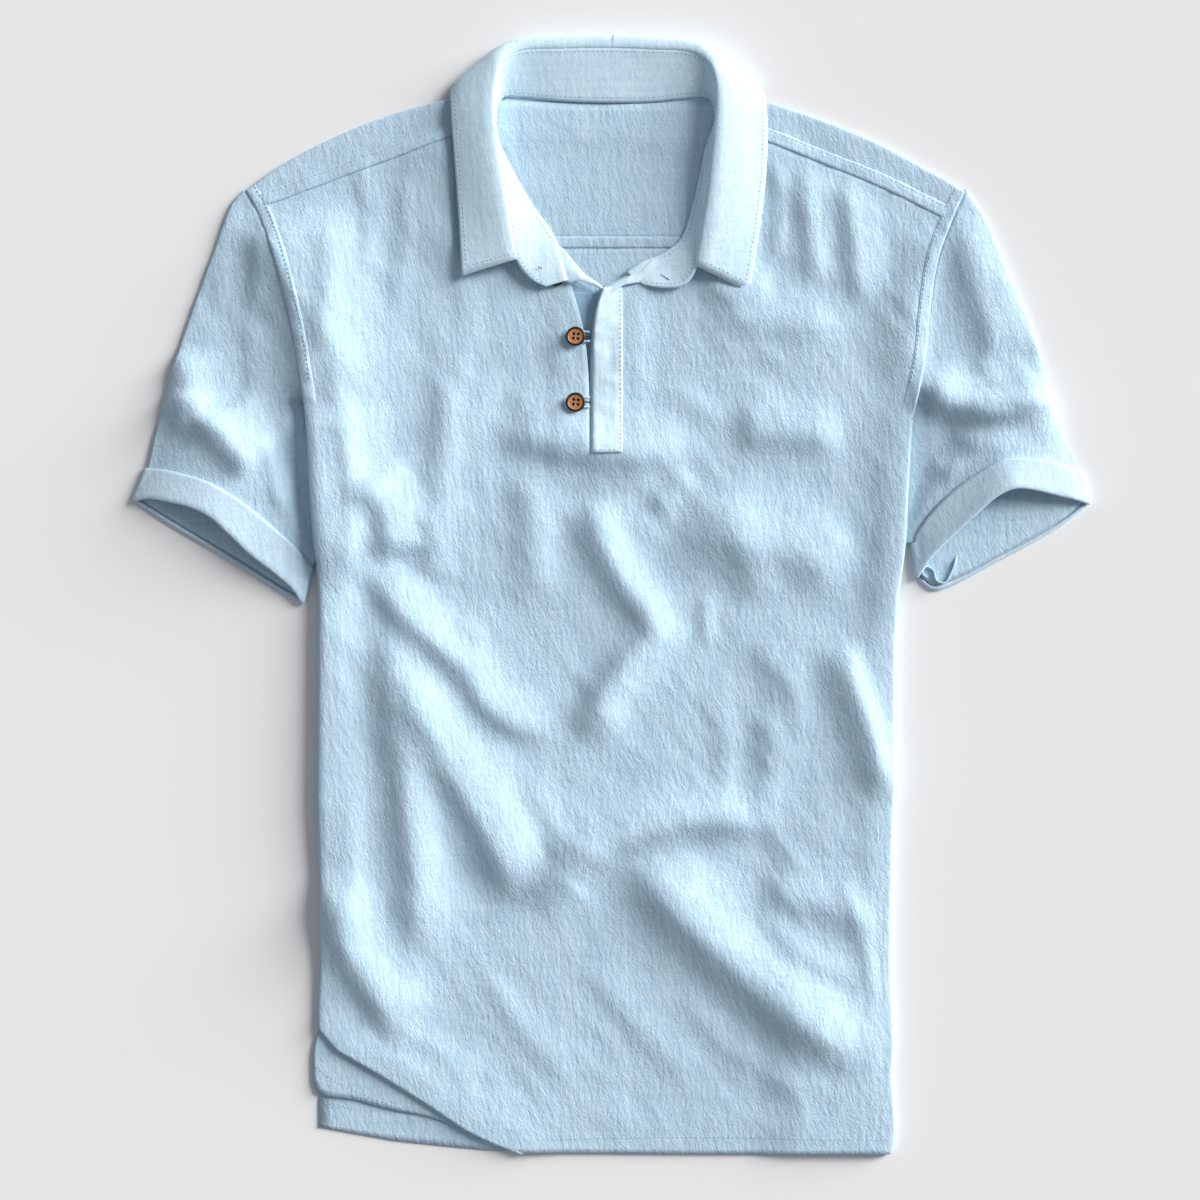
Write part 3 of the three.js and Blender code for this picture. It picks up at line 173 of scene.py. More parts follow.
# Collar leaf: fold, crest of the roll, turn, where it comes to lie, free edge.
LEAF = [
    ((-64, 224, 11), (-67.5, 223, 12.2), (-77, 220, 11.4), (-89, 216.5, 10.4), (-100, 213, 9.6)),
    ((-71, 262, 16), (-75, 262, 17), (-84, 263, 16), (-94, 265, 14), (-103, 268, 11.8)),
    ((-77, 304, 18), (-81, 304.5, 19), (-90, 306, 17.6), (-99, 308, 15.2), (-106, 309, 12.8)),
    ((-79, 330, 18), (-82.5, 331, 18.6), (-91, 332, 16.8), (-100, 331, 14.2), (-107, 328, 11.4)),
    ((-77, 346, 17), (-81, 348, 16.8), (-92, 348.5, 12.8), (-101, 345, 8.6), (-106, 339, 5.2)),
    ((-74, 356, 15.5), (-77, 360.5, 14.6), (-86, 358, 9), (-91, 351, 2.6), (-97, 338, 0.6)),
    ((-62, 364, 12), (-63.5, 370, 11.4), (-67, 370.5, 4.6), (-69, 362, 0.8), (-74, 326, 0.6)),
    ((-32, 366, 10.5), (-32, 373, 10), (-32, 374, 4.4), (-33, 366, 0.7), (-34, 324, 0.6)),
    ((-4, 366.5, 10), (-4, 373.5, 9.6), (-4, 374.5, 4.4), (-4, 366.5, 0.7), (-4, 324, 0.6)),
    ((27, 365.5, 10.5), (27, 372, 10), (27, 373, 4.4), (28, 365, 0.7), (28, 324, 0.6)),
    ((55, 363, 12), (56.5, 368.5, 11.4), (60, 368.5, 4.6), (62, 360, 0.8), (66, 326, 0.6)),
    ((66, 355, 15.5), (69, 359, 14.6), (78, 356, 9), (83.5, 349, 2.6), (89, 337, 0.6)),
    ((70, 345, 17), (74, 346.5, 16.8), (86, 346, 12.6), (95.5, 342, 8), (101, 336.5, 4.6)),
    ((71, 330, 18), (75, 331, 18.6), (85, 331, 15.4), (95.5, 328, 11), (103.5, 323, 8)),
    ((69, 303, 18), (73, 303.5, 19), (84, 303.5, 16), (95, 302, 11.6), (104, 300, 8)),
    ((65, 266, 16), (69, 266, 17), (80, 264, 14.6), (92, 262, 10.6), (101, 260, 7.4)),
    ((57, 219, 11), (60.5, 217.5, 12.2), (70, 213, 10.6), (82, 207, 8.6), (92, 202, 7.4)),
]
LEFT_SLEEVE = {
    "heights": [272, 259.6, 241, 220, 199, 178, 157, 136, 116, 92, 66, 42],
    "outer": [(-244, 272), (-253, 263), (-266, 229), (-287, 171), (-302, 118), (-309.5, 86)],
    "inner": [(-182, 42), (-190, 32), (-200.5, 20)],
    "cuff_line": [(-309.5, 86, 3), (-300, 85, 6.2), (-286, 82, 9.4), (-270, 77, 11.4), (-253, 68, 11.6),
        (-235, 55, 10), (-219, 41, 7.8), (-208, 30, 5.2), (-200.5, 20, 3)],
    "cuff_under": [(-309.5, 86), (-282, 69), (-255, 53), (-228, 36), (-200.5, 20)],
    "mouth": [(-319, 63, 4), (-308, 65, 7.8), (-296, 63, 11.2), (-281, 59.5, 13.6), (-267, 52.5, 14.8),
        (-255, 41, 14.4), (-241, 27, 12.4), (-224, 14, 9.2), (-213, 4, 6.4), (-207.5, -5, 4)],
    "mouth_under": [(-319, 63), (-298, 49), (-271, 33), (-244, 17), (-222, 3), (-207.5, -5)],
}
RIGHT_SLEEVE = {
    "heights": [272, 251, 236, 220, 199, 178, 157, 136, 116, 92, 64, 36],
    "outer": [(236, 272), (246, 258), (262, 222), (283, 172), (298, 118), (312, 84)],
    "inner": [(178, 36), (190, 34), (202, 36)],
    "cuff_line": [(312, 84, 3), (303, 88, 6.8), (290, 91, 10.2), (274, 92.5, 12.8), (260, 91, 13.6),
        (247, 84, 11.6), (232, 74, 9), (217, 60, 7), (207, 47, 5), (202, 36, 3)],
    "cuff_under": [(312, 84), (286, 66), (258, 48), (230, 34), (202, 36)],
    "mouth": [(319, 61, 4), (309, 64, 7.6), (296, 67, 11), (281, 70.5, 15), (268, 71.5, 17.6),
        (256, 66, 17), (243, 54, 14.4), (228, 40, 11), (215, 27, 8), (205, 12, 4)],
    "mouth_under": [(319, 61), (303, 48), (279, 34), (254, 21), (230, 8), (215, 3), (205, 12)],
}
PLEAT_OUTER = [(-196, -291), (-199, -304), (-199.5, -318), (-198.5, -330), (-194.5, -334)]
PLEAT_HEM = [(-173, -337), (-159, -341), (-142, -345), (-125, -348), (-109, -353), (-84, -364), (-62, -370)]

# Smaller creases that only the eye sees, in the same columns as the folds.
CREASES = [
    ([(-178, 130), (-172, 60), (-176, 0)], 1.6, 9, 6),
    ([(-120, 190), (-112, 130), (-118, 60)], 1.4, 12, 8),
    ([(-85, 160), (-88, 100), (-80, 40)], 1.2, 10, 7),
    ([(-172, 300), (-163, 250), (-166, 200)], 1.3, 7, 5),
    ([(-140, 290), (-137, 240), (-146, 180)], 1.2, 7, 6),
    ([(88, 288), (92, 240), (86, 190)], 1.1, 7, 6),
    ([(108, 296), (113, 262), (110, 220)], 1.5, 5, 5),
    ([(141, 288), (145, 255), (143, 225)], 1.2, 5, 5),
    ([(172, 272), (176, 235), (180, 200)], 1.3, 6, 6),
    ([(60, 170), (100, 160), (150, 168)], 1.3, 10, 8),
    ([(30, 140), (70, 120), (110, 126)], 1.2, 9, 7),
    ([(52, 84), (38, 66), (26, 57)], 2.2, 8, 8),
    ([(64, 4), (63, -18), (63, -37)], 1.8, 5, 5),
    ([(-104, -16), (-96, -22), (-86, -32)], 1.2, 6, 4),
    ([(32, -30), (-14, -70), (-21, -104)], 1.6, 9, 7),
    ([(90, -30), (120, -60), (128, -100)], 1.6, 10, 8),
    ([(60, -60), (78, -100), (70, -140)], 1.4, 9, 8),
    ([(-60, -120), (-30, -160), (10, -190)], 1.5, 10, 8),
    ([(-178, -120), (-172, -180), (-176, -230)], 1.5, 7, 6),
    ([(-150, -290), (-120, -300), (-90, -330)], 1.3, 9, 7),
    ([(-90, -250), (-60, -290), (-20, -330)], 1.6, 12, 9),
    ([(-20, -240), (10, -280), (60, -330)], 1.5, 12, 9),
    ([(40, -260), (90, -310), (150, -340)], 1.8, 12, 8),
    ([(90, -200), (130, -240), (176, -262)], 1.8, 10, 8),
    ([(150, -180), (168, -230), (180, -280)], 1.5, 8, 7),
    ([(-100, 230), (-96, 180), (-104, 130)], 1.0, 9, 8),
    ([(-188, 190), (-180, 130), (-174, 60), (-176, 0)], 3.0, 22, 9),
    ([(-128, 60), (-118, 36), (-126, 10)], 2.4, 14, 7),
    ([(-236, 244), (-236, 214), (-240, 186)], 2.2, 6, 6),
    ([(-258, 232), (-262, 205), (-268, 190)], 1.6, 8, 6),
    ([(-244, 190), (-238, 150), (-246, 112)], 2.4, 12, 8),
    ([(-288, 150), (-276, 128), (-272, 104)], 2.6, 12, 6),
    ([(-300, 120), (-291, 130), (-278, 128)], 1.6, 7, 5),
    ([(-232, 110), (-226, 84), (-216, 50)], 3.0, 9, 7),
    ([(-226, 230), (-218, 190), (-213, 150), (-212, 112)], -1.6, 6, 7),
    ([(258, 226), (268, 190), (276, 160)], 1.6, 9, 8),
    ([(280, 180), (288, 150), (296, 120)], 1.6, 8, 8),
    ([(240, 160), (252, 148), (262, 132)], 1.6, 7, 5),
    ([(226, 112), (248, 100), (270, 104)], 2.2, 8, 7),
    ([(222, 70), (236, 84), (254, 92)], 1.6, 7, 6),
    ([(212, 92), (224, 84), (240, 84)], 1.6, 6, 5),
]


def smooth(low, high, value):
    t = np.clip((np.asarray(value, float) - low) / (high - low), 0, 1)
    return t * t * (3 - 2 * t)


def mix(a, b, t):
    return a + (b - a) * t


def unit(vectors):
    return vectors / np.maximum(np.linalg.norm(vectors, axis=-1, keepdims=True), 1e-9)


def run_along(points):
    """Length along a line up to each of its points."""
    return np.concatenate([[0], np.cumsum(np.linalg.norm(np.diff(points, axis=0), axis=1))])


def at_lengths(points, run, lengths):
    return np.stack([np.interp(lengths, run, points[:, k]) for k in range(3)], axis=1)


def facing_up(line):
    """A line for stitches on a level stretch of cloth, with the way up at each point."""
    return line, np.tile([0.0, 0.0, 1.0], (len(line), 1))


def solid_points(points):
    return np.array([tuple(p) + (0,) * (3 - len(p)) for p in points], float)


def curve(points, n, even=True):
    """n + 1 points on a smooth curve through the given ones, evenly spaced or even in each stretch."""
    p = solid_points(points)
    ends = np.vstack([2 * p[0] - p[1], p, 2 * p[-1] - p[-2]])
    stretches = len(p) - 1
    place = np.linspace(0, stretches, max(n, 24 * stretches) + 1 if even else n + 1)
    index = np.minimum(place.astype(int), stretches - 1)
    t = (place - index)[:, None]
    p0, p1, p2, p3 = (ends[index + k] for k in range(4))
    lengths = [np.linalg.norm(b - a, axis=1) for a, b in ((p0, p1), (p1, p2), (p2, p3))]
    d0, d1, d2 = (np.maximum(length, 1e-6)[:, None] ** 0.5 for length in lengths)
    m1 = ((p1 - p0) / d0 - (p2 - p0) / (d0 + d1) + (p2 - p1) / d1) * d1
    m2 = ((p2 - p1) / d1 - (p3 - p1) / (d1 + d2) + (p3 - p2) / d2) * d1
    out = (2 * t**3 - 3 * t**2 + 1) * p1 + (t**3 - 2 * t**2 + t) * m1
    out = out + (3 * t**2 - 2 * t**3) * p2 + (t**3 - t**2) * m2
    return spaced(out, n) if even else out


def spaced(points, n):
    """n + 1 evenly spaced points along a line of points."""
    run = run_along(points)
    return at_lengths(points, run, np.linspace(0, run[-1], n + 1))


def straight(a, b, n):
    return np.linspace(np.asarray(a, float), np.asarray(b, float), n + 1)


def column(table, k, y):
    rows = np.array(table, float)[::-1]
    return np.interp(y, rows[:, 0], rows[:, k])


def seam_x(line, y):
    rows = np.array(line, float)[::-1]
    return np.interp(y, rows[:, 1], rows[:, 0])


def nearest_on(line, x, y):
    """Distance of plan points from a line of points, the place along it, and the way off it."""
    best = np.full(np.shape(x), np.inf)
    place, off_x, off_y = np.zeros_like(best), np.zeros_like(best), np.zeros_like(best)
    for i in range(len(line) - 1):
        ax, ay = line[i + 1][:2] - line[i][:2]
        t = np.clip(((x - line[i][0]) * ax + (y - line[i][1]) * ay) / max(ax * ax + ay * ay, 1e-9), 0, 1)
        dx, dy = x - line[i][0] - t * ax, y - line[i][1] - t * ay
        distance = np.hypot(dx, dy)
        nearer = distance < best
        best = np.where(nearer, distance, best)
        place = np.where(nearer, (i + t) / (len(line) - 1), place)
        off_x, off_y = np.where(nearer, dx, off_x), np.where(nearer, dy, off_y)
    return best, place, off_x, off_y


CRESTS = [(curve(crest, 3 * len(crest)), rise, lit, shade) for crest, rise, lit, shade in FOLDS]
FINE_CRESTS = [(curve(crest, 3 * len(crest)), rise, lit, shade) for crest, rise, lit, shade in CREASES]
rng = np.random.default_rng(11)
LATTICES = [rng.random((64, 64)) for _ in range(3)]


def lumps(x, y, cell, k):
    """Smooth uneven heights from 0 to 1 that repeat only after 64 cells."""
    u, v = x / cell + 500, y / cell + 500
    i, j = np.floor(u).astype(int), np.floor(v).astype(int)
    s, t = smooth(0, 1, u - i), smooth(0, 1, v - j)
    grid = LATTICES[k]
    a, b = grid[i % 64, j % 64], grid[(i + 1) % 64, j % 64]
    c, d = grid[i % 64, (j + 1) % 64], grid[(i + 1) % 64, (j + 1) % 64]
    return mix(mix(a, b, s), mix(c, d, s), t)


def ridges(crests, x, y):
    height = np.zeros(np.shape(x))
    for line, rise, lit, shade in crests:
        distance, place, dx, dy = nearest_on(line, x, y)
        spread = np.where(dx * 0.8 + dy * 0.6 > 0, lit, shade)
        taper = smooth(0, 0.25, place) * smooth(1, 0.75, place)
        height += rise * taper * np.exp(-((distance / spread) ** 2))
    return height


def crumple(x, y):
    """Small soft unevenness of the washed cloth."""
    u, v = x * 0.8 + y * 0.6, y * 0.8 - x * 0.6
    first = 1 - np.abs(2 * lumps(u, v * 0.55, 19, 0) - 1)
    second = 1 - np.abs(2 * lumps(u * 0.9 + 31, v * 0.5, 10, 1) - 1)
    return 0.9 * first + 0.45 * second


def relief(x, y):
    return FOLD_GAIN * ridges(CRESTS, x, y) + ridges(FINE_CRESTS, x, y) + crumple(x, y)


def hem_fade(y):
    """How much of a fold is left near the stitched hem."""
    return mix(0.15, 1, smooth(HEM - 1, HEM + 26, y))


def side_rows(table, sign, heights):
    """Rows of a side: edge, crest of the roll, way in, and the table's other columns."""
    rows = []
    for y in heights:
        x, reach, under, top, radius = (float(column(table, k, y)) for k in range(1, 6))
        inward = np.array([sign, 0.0, 0.0])
        if sign > 0 and y < PLEAT_TOP:
            rise = max(0.0, float(column(table, 1, y - 4) - column(table, 1, y + 4)))
            inward = np.array([8, rise, 0.0]) / math.hypot(8, rise)
        edge = np.array([x, y, 0.0])
        crest = edge + inward * radius
        base = top
        top += FOLD_GAIN * float(ridges(CRESTS, np.array(crest[0]), np.array(crest[1]))) * float(hem_fade(y))
        crest[2] = top
        rows.append({
            "edge": edge, "crest": crest, "inward": inward, "radius": radius,
            "reach": reach, "under": under, "top": top, "base": base,
        })
    return rows


HEIGHTS = np.linspace(SLIT_FOOT, HEM, int((SLIT_FOOT - HEM) / STEP) + 1)
UPPER = np.linspace(128, SLIT_FOOT, 11)[:-1]
left_rows, right_rows = side_rows(LEFT_SIDE, 1, HEIGHTS), side_rows(RIGHT_SIDE, -1, HEIGHTS)
left_upper, right_upper = side_rows(LEFT_SIDE, 1, UPPER), side_rows(RIGHT_SIDE, -1, UPPER)
LEFT_CREST = np.array([[*row["crest"][:2], row["base"]] for row in left_upper + left_rows])
RIGHT_CREST = np.array([[*row["crest"][:2], row["base"]] for row in right_upper + right_rows])


def collar_rise(x, y, lead=0):
    """Rise of the cloth towards the collar; lead widens it."""
    rise = LAYER * smooth(292 - lead, 309 - lead / 2, y)
    return rise * smooth(-132 - lead, -112, x) * smooth(124 + lead, 106, x)


def placket_rise(x, y):
    """Rise of the front over the under placket."""
    return LAYER * smooth(-46, -33, x) * smooth(30, 16, x) * smooth(62, 79, y)


def over_sides(x, y, margin=0):
    """1 over the turned-under sides and 0 elsewhere."""
    left = smooth(-26 + margin, -44, y) * smooth(-228 - margin, -206, y)
    left = left * smooth(-122 + margin, TURNED_LEFT, x)
    right = smooth(-26 + margin, -44, y) * smooth(112 - margin, TURNED_RIGHT, x)
    return np.maximum(left, right)


def top_height(x, y):
    """Mid-surface of the top layer of the body."""
    x, y = np.asarray(x, float), np.asarray(y, float)
    flat = FRONT + collar_rise(x, y, 16) + placket_rise(x, y) * smooth(232, 216, y)
    flat = flat + 3.3 * over_sides(x, y, 20)
    roll, calm = np.zeros_like(x), np.ones_like(x)
    for line, spread in ((LEFT_CREST, 25), (RIGHT_CREST, 20)):
        distance, place, _, _ = nearest_on(line[::3], x, y)
        tops = np.interp(place * (len(line[::3]) - 1), np.arange(len(line[::3])), line[::3, 2])
        roll = np.maximum(roll, (tops - flat) * np.exp(-((distance / spread) ** 2)))
        calm = calm * smooth(0, 14, distance)
    edges = hem_fade(y) * smooth(335, 300, y)
    folds = FOLD_GAIN * ridges(CRESTS, x, y)
    return flat + roll + (folds + (relief(x, y) - folds) * calm) * edges


def on_top(x, y, lift=0):
    return np.stack([x, y, top_height(x, y) + lift], axis=-1)


def filled(start, end, first, last):
    """A grid inside four lines: its rows run from "first" to "last" and begin and end on the other two."""
    s = np.linspace(0, 1, len(start))[:, None, None]
    t = np.linspace(0, 1, len(first))[None, :, None]
    ruled = start[:, None] * (1 - t) + end[:, None] * t + first[None] * (1 - s) + last[None] * s
    corners = first[0] * (1 - s) * (1 - t) + first[-1] * (1 - s) * t
    return ruled - (corners + last[0] * s * (1 - t) + last[-1] * s * t)


def mesh_object(name, points, faces, material, flat_faces=()):
    mesh = bpy.data.meshes.new(name)
    mesh.from_pydata((np.asarray(points) * MM).tolist(), [], faces)
    mesh.update()
    mesh.shade_smooth()
    for k in flat_faces:
        mesh.polygons[k].use_smooth = False
    mesh.materials.append(material)
    piece = bpy.data.objects.new(name, mesh)
    bpy.context.scene.collection.objects.link(piece)
    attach(piece, "root")
    return piece


def wall(name, patches, material, half=HALF):
    """A wall of cloth round patches of mid-surface points that share points where they meet."""
    points = np.concatenate([patch.reshape(-1, 3) for patch in patches])
    keys = np.round(points * 50).astype(int)
    _, first, index = np.unique(keys, axis=0, return_index=True, return_inverse=True)
    index = index.reshape(-1)
    points = points[first]
    faces, start = [], 0
    for patch in patches:
        rows, columns = patch.shape[:2]
        grid = index[start:start + rows * columns].reshape(rows, columns)
        start += rows * columns
        corners = [grid[:-1, :-1], grid[:-1, 1:], grid[1:, 1:], grid[1:, :-1]]
        for quad in np.stack(corners, axis=-1).reshape(-1, 4).tolist():
            face = list(dict.fromkeys(quad))
            if len(face) > 2:
                faces.append(face)
    middle = bmesh.new()
    verts = [middle.verts.new(p) for p in points.tolist()]
    for face in faces:
        try:
            middle.faces.new([verts[k] for k in face])
        except ValueError:
            continue
    bmesh.ops.recalc_face_normals(middle, faces=middle.faces[:])
    middle.normal_update()
    middle.verts.index_update()
    normals = np.array([v.normal[:] for v in middle.verts])
    count = len(points)
    thick = half(points)[:, None] if callable(half) else half
    shell = np.concatenate([points + normals * thick, points - normals * thick])
    shell[:, 2] = np.maximum(shell[:, 2], 0.02)
    shell_faces = [[v.index for v in face.verts] for face in middle.faces]
    shell_faces += [[k + count for k in reversed(face)] for face in shell_faces]
    rims = len(shell_faces)
    for edge in middle.edges:
        if len(edge.link_faces) != 1:
            continue
        loop = next(c for c in edge.link_faces[0].loops if c.edge == edge)
        a, b = loop.vert.index, loop.link_loop_next.vert.index
        shell_faces.append([b, a, a + count, b + count])
    middle.free()
    piece = mesh_object(name, shell, shell_faces, material, range(rims, len(shell_faces)))
    check = bmesh.new()
    check.from_mesh(piece.data)
    bmesh.ops.recalc_face_normals(check, faces=check.faces[:])
    check.to_mesh(piece.data)
    check.free()
    return piece


def cloth_piece(name, patches, material, solid, half=HALF):
    """A wall of cloth that stands for one solid."""
    piece = wall(name, patches, material, half)
    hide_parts(solid)
    return piece


def stitches(name, lines, material, pitch=3.1, length=2.1, radius=0.27):
    """Rows of short threads. Each line is its points and the way out of the cloth at each."""
    points, faces = [], []
    for line, normals in lines:
        run = run_along(line)
        at = np.arange(pitch / 2, run[-1] - pitch / 3, pitch)
        centres, ahead = at_lengths(line, run, at), at_lengths(line, run, at + 0.6)
        outs = at_lengths(normals, run, at)
        for centre, nxt, out in zip(centres, ahead, outs):
            along = nxt - centre
            if np.linalg.norm(along) < 1e-6:
                continue
            along /= np.linalg.norm(along)
            side = np.cross(out, along)
            k = len(points)
            points.append(centre - along * length / 2 - out * radius)
            for shift in (-0.25, 0.25):
                for a, b in ((1, 0), (0, 1), (-1, 0), (0, -1)):
                    points.append(centre + along * length * shift + side * a * radius + out * b * radius)
            points.append(centre + along * length / 2 - out * radius)
            for m in range(4):
                n = (m + 1) % 4
                faces.append([k, k + 1 + n, k + 1 + m])
                faces.append([k + 1 + m, k + 1 + n, k + 5 + n, k + 5 + m])
                faces.append([k + 9, k + 5 + m, k + 5 + n])
    piece = mesh_object(name, points, faces, material)
    return piece


def node(tree, kind, **values):
    made = tree.nodes.new("ShaderNode" + kind)
    for key, value in values.items():
        if key in made.inputs:
            made.inputs[key].default_value = value
        else:
            setattr(made, key, value)
    return made


def new_material(name, roughness):
    """A material, its tree, its shader linked to the output, and the place on the object."""
    material = bpy.data.materials.new(name)
    material.use_nodes = True
    tree = material.node_tree
    tree.nodes.clear()
    out = node(tree, "OutputMaterial")
    shader = node(tree, "BsdfPrincipled", Roughness=roughness)
    tree.links.new(shader.outputs[0], out.inputs[0])
    return material, tree, shader, node(tree, "TexCoord").outputs["Object"]


def noise(tree, vector, **values):
    made = node(tree, "TexNoise", **values)
    tree.links.new(vector, made.inputs["Vector"])
    return made.outputs


def bump(tree, height, strength, distance, before=None):
    made = node(tree, "Bump", Strength=strength, Distance=distance)
    tree.links.new(height, made.inputs["Height"])
    if before:
        tree.links.new(before, made.inputs["Normal"])
    return made.outputs[0]


def ramp(tree, value, places, colours):
    made = node(tree, "ValToRGB")
    for stop, place, colour in zip(made.color_ramp.elements, places, colours):
        stop.position = place
        stop.color = (*colour, 1)
    tree.links.new(value, made.inputs["Fac"])
    return made.outputs["Color"]


def cloth_material(name, colour, crinkle=1.0):
    """Crinkled cotton: short wrinkles in two directions, slubs along the threads, painted shade in the
    wrinkles' hollows, a soft matt sheen.
    """
    material, tree, shader, place = new_material(name, 0.88)
    link = tree.links.new
    shader.inputs["Sheen Weight"].default_value = 0.25
    shader.inputs["Sheen Roughness"].default_value = 0.45
    shader.inputs["Specular IOR Level"].default_value = 0.25
    warp = noise(tree, place, Scale=55.0, Detail=2.0)
    shift = node(tree, "VectorMath", operation="MULTIPLY_ADD")
    link(warp["Color"], shift.inputs[0])
    shift.inputs[1].default_value = (0.005, 0.005, 0.005)
    link(place, shift.inputs[2])

    def streaks(angle, across, along, detail):
        """Noise drawn out along a line that leans by an angle, with sizes in millimetres."""
        turn = node(tree, "Mapping", vector_type="TEXTURE")
        turn.inputs["Rotation"].default_value = (0, 0, math.radians(angle))
        turn.inputs["Scale"].default_value = (across * MM, along * MM, across * MM)
        link(shift.outputs[0], turn.inputs["Vector"])
        return noise(tree, turn.outputs[0], Scale=1.0, Detail=detail, Roughness=0.55)["Fac"]

    def blend(a, b, factor):
        mixed = node(tree, "Mix", data_type="FLOAT")
        link(a, mixed.inputs["A"])
        link(b, mixed.inputs["B"])
        if isinstance(factor, float):
            mixed.inputs["Factor"].default_value = factor
        else:
            link(factor, mixed.inputs["Factor"])
        return mixed.outputs[0]

    patches = noise(tree, place, Scale=22.0, Detail=1.0)
    lean = node(tree, "MapRange")
    lean.inputs["From Min"].default_value = 0.47
    lean.inputs["From Max"].default_value = 0.66
    link(patches["Fac"], lean.inputs["Value"])
    wrinkles = blend(streaks(38, 1.05, 2.3, 3.0), streaks(-30, 1.1, 2.5, 3.0), lean.outputs["Result"])
    soft = streaks(12, 3.2, 9.0, 3.0)
    threads = noise(tree, place, Scale=1500.0, Detail=1.0)
    fine = bump(tree, threads["Fac"], 0.2 * crinkle, 0.0002)
    middle = bump(tree, wrinkles, 0.8 * crinkle, 0.0005, fine)
    broad = bump(tree, soft, 0.75 * crinkle, 0.0009, middle)
    link(broad, shader.inputs["Normal"])

    # Colour: the slubs are the cloth's own uneven tone; the wrinkles' hollows are painted darker as shade.
    slubs = blend(streaks(1, 2.4, 90, 1.0), streaks(91, 2.0, 60, 1.0), 0.4)
    dark = tuple(c * k for c, k in zip(colour, (0.84, 0.9, 0.94)))
    light = tuple(min(1.0, c * k) for c, k in zip(colour, (1.13, 1.09, 1.06)))
    colours = ramp(tree, blend(slubs, wrinkles, 0.35), (0.36, 0.64), (dark, light))
    link(colours, shader.inputs["Base Color"])
    return material


def wood_material(name, colour, dark):
    material, tree, shader, place = new_material(name, 0.42)
    turn = node(tree, "Mapping")
    turn.inputs["Scale"].default_value = (260, 1500, 400)
    turn.inputs["Rotation"].default_value = (0, 0, math.radians(24))
    tree.links.new(place, turn.inputs["Vector"])
    grain = noise(tree, turn.outputs[0], Scale=1.0, Detail=4.0, Distortion=0.6)["Fac"]
    tree.links.new(ramp(tree, grain, (0.3, 0.7), (dark, colour)), shader.inputs["Base Color"])
    tree.links.new(bump(tree, grain, 0.3, 0.0002), shader.inputs["Normal"])
    return material


shirt_cloth = cloth_material("shirt_cloth", (0.485, 0.65, 0.775))
facing_cloth = cloth_material("facing_cloth", (0.54, 0.7, 0.82), 0.6)
# Lighter copy of the shirt cloth for the collar, placket top and neck edges: partly the doubled cloth, partly
# painted light on these raised pieces.
collar_cloth_painted_light = cloth_material("collar_cloth_painted_light", (0.62, 0.8, 0.92), 0.35)
# Painted shade: a darker blue copy of the shirt cloth for the under placket, which lies in the shadow of the
# raised top strip.
under_cloth_painted_shade = cloth_material("under_cloth_painted_shade", (0.36, 0.53, 0.69), 0.35)
# Sewing thread, darker than the cloth: partly the thread's own tone, partly painted shade of the stitch holes
# and seam grooves.
thread_and_stitch_shade = cloth_material("sewing_thread_and_stitch_shade", (0.36, 0.5, 0.64), 0.3)
thread_dark = cloth_material("dark_thread", (0.06, 0.045, 0.04), 0.3)
wood = wood_material("button_wood", (0.58, 0.26, 0.1), (0.34, 0.13, 0.045))
wood_rim = wood_material("button_rim", (0.022, 0.012, 0.008), (0.012, 0.007, 0.005))
# Painted shade: near-black for the hollows of the button holes.
hole_painted_shade = wood_material("button_hole_painted_shade", (0.02, 0.01, 0.006), (0.012, 0.006, 0.004))


# Front panel
left_columns, right_columns = 57, 60


def middle_of(y):
    """Where the two halves of the front's points meet: at the slit's foot, 70 mm further right at the hem."""
    return SLIT_X + 70 * float(smooth(SLIT_FOOT, HEM, y))


main = []
for k, y in enumerate(HEIGHTS):
    left, right = left_rows[k]["crest"], right_rows[k]["crest"]
    middle = np.array([middle_of(y), y, 0.0])
    row = np.concatenate([straight(left, middle, left_columns), straight(middle, right, right_columns)[1:]])
    row = on_top(row[:, 0], row[:, 1])
    row[0], row[-1] = left, right
    main.append(row)
main = np.array(main)


def flat_of(points):
    flat = np.array(points, float)
    flat[:, 2] = 0
    return flat


def upper_half(rows, armhole, heights, slit, neck, yoke_seam, first):
    """Half of the front above the slit's foot, from the side and armhole to the slit and neck."""
    crests = np.array([first[0]] + [row["crest"] for row in reversed(rows)])
    shared = [(seam_x(armhole, y), y, 0.0) for y in heights[1:8]][::-1]
    side = spaced(np.array([crests[-1]] + shared), 42)[1:]
    outer = np.concatenate([flat_of(crests), flat_of(side)])
    inner = np.concatenate([curve(slit[::-1], 24), curve(neck[::-1], 28)[1:]])
    grid = filled(outer, inner, flat_of(first), curve(yoke_seam, len(first) - 1))
    grid = on_top(grid[..., 0], grid[..., 1])
    grid[0] = first
    grid[:len(crests), 0] = crests
    return grid


left_half = upper_half(
    left_upper, LEFT_ARMHOLE, LEFT_SLEEVE["heights"],
    LEFT_SLIT, LEFT_NECK, LEFT_YOKE_SEAM, main[0, :left_columns + 1],
)
right_half = upper_half(
    right_upper, RIGHT_ARMHOLE, RIGHT_SLEEVE["heights"],
    RIGHT_SLIT, RIGHT_NECK, RIGHT_YOKE_SEAM, main[0, left_columns:][::-1],
)


def side_patch(rows):
    """The turn of a side: from the crest of its roll, round the edge and in under the shirt."""
    patch = []
    for row in rows:
        centre, rise = (row["top"] + row["under"]) / 2, (row["top"] - row["under"]) / 2
        axis = row["edge"] + row["inward"] * row["radius"]
        turn = []
        for part in np.linspace(0, 1, 9):
            point = axis - row["inward"] * row["radius"] * math.sin(math.pi * part)
            point[2] = centre + rise * math.cos(math.pi * part)
            turn.append(point)
        end = row["edge"] + row["inward"] * max(row["reach"], row["radius"] + 1.5)
        end[2] = row["under"]
        turn[0] = row["crest"]
        patch.append(turn + [mix(turn[-1], end, 0.5), end])
    return np.array(patch)


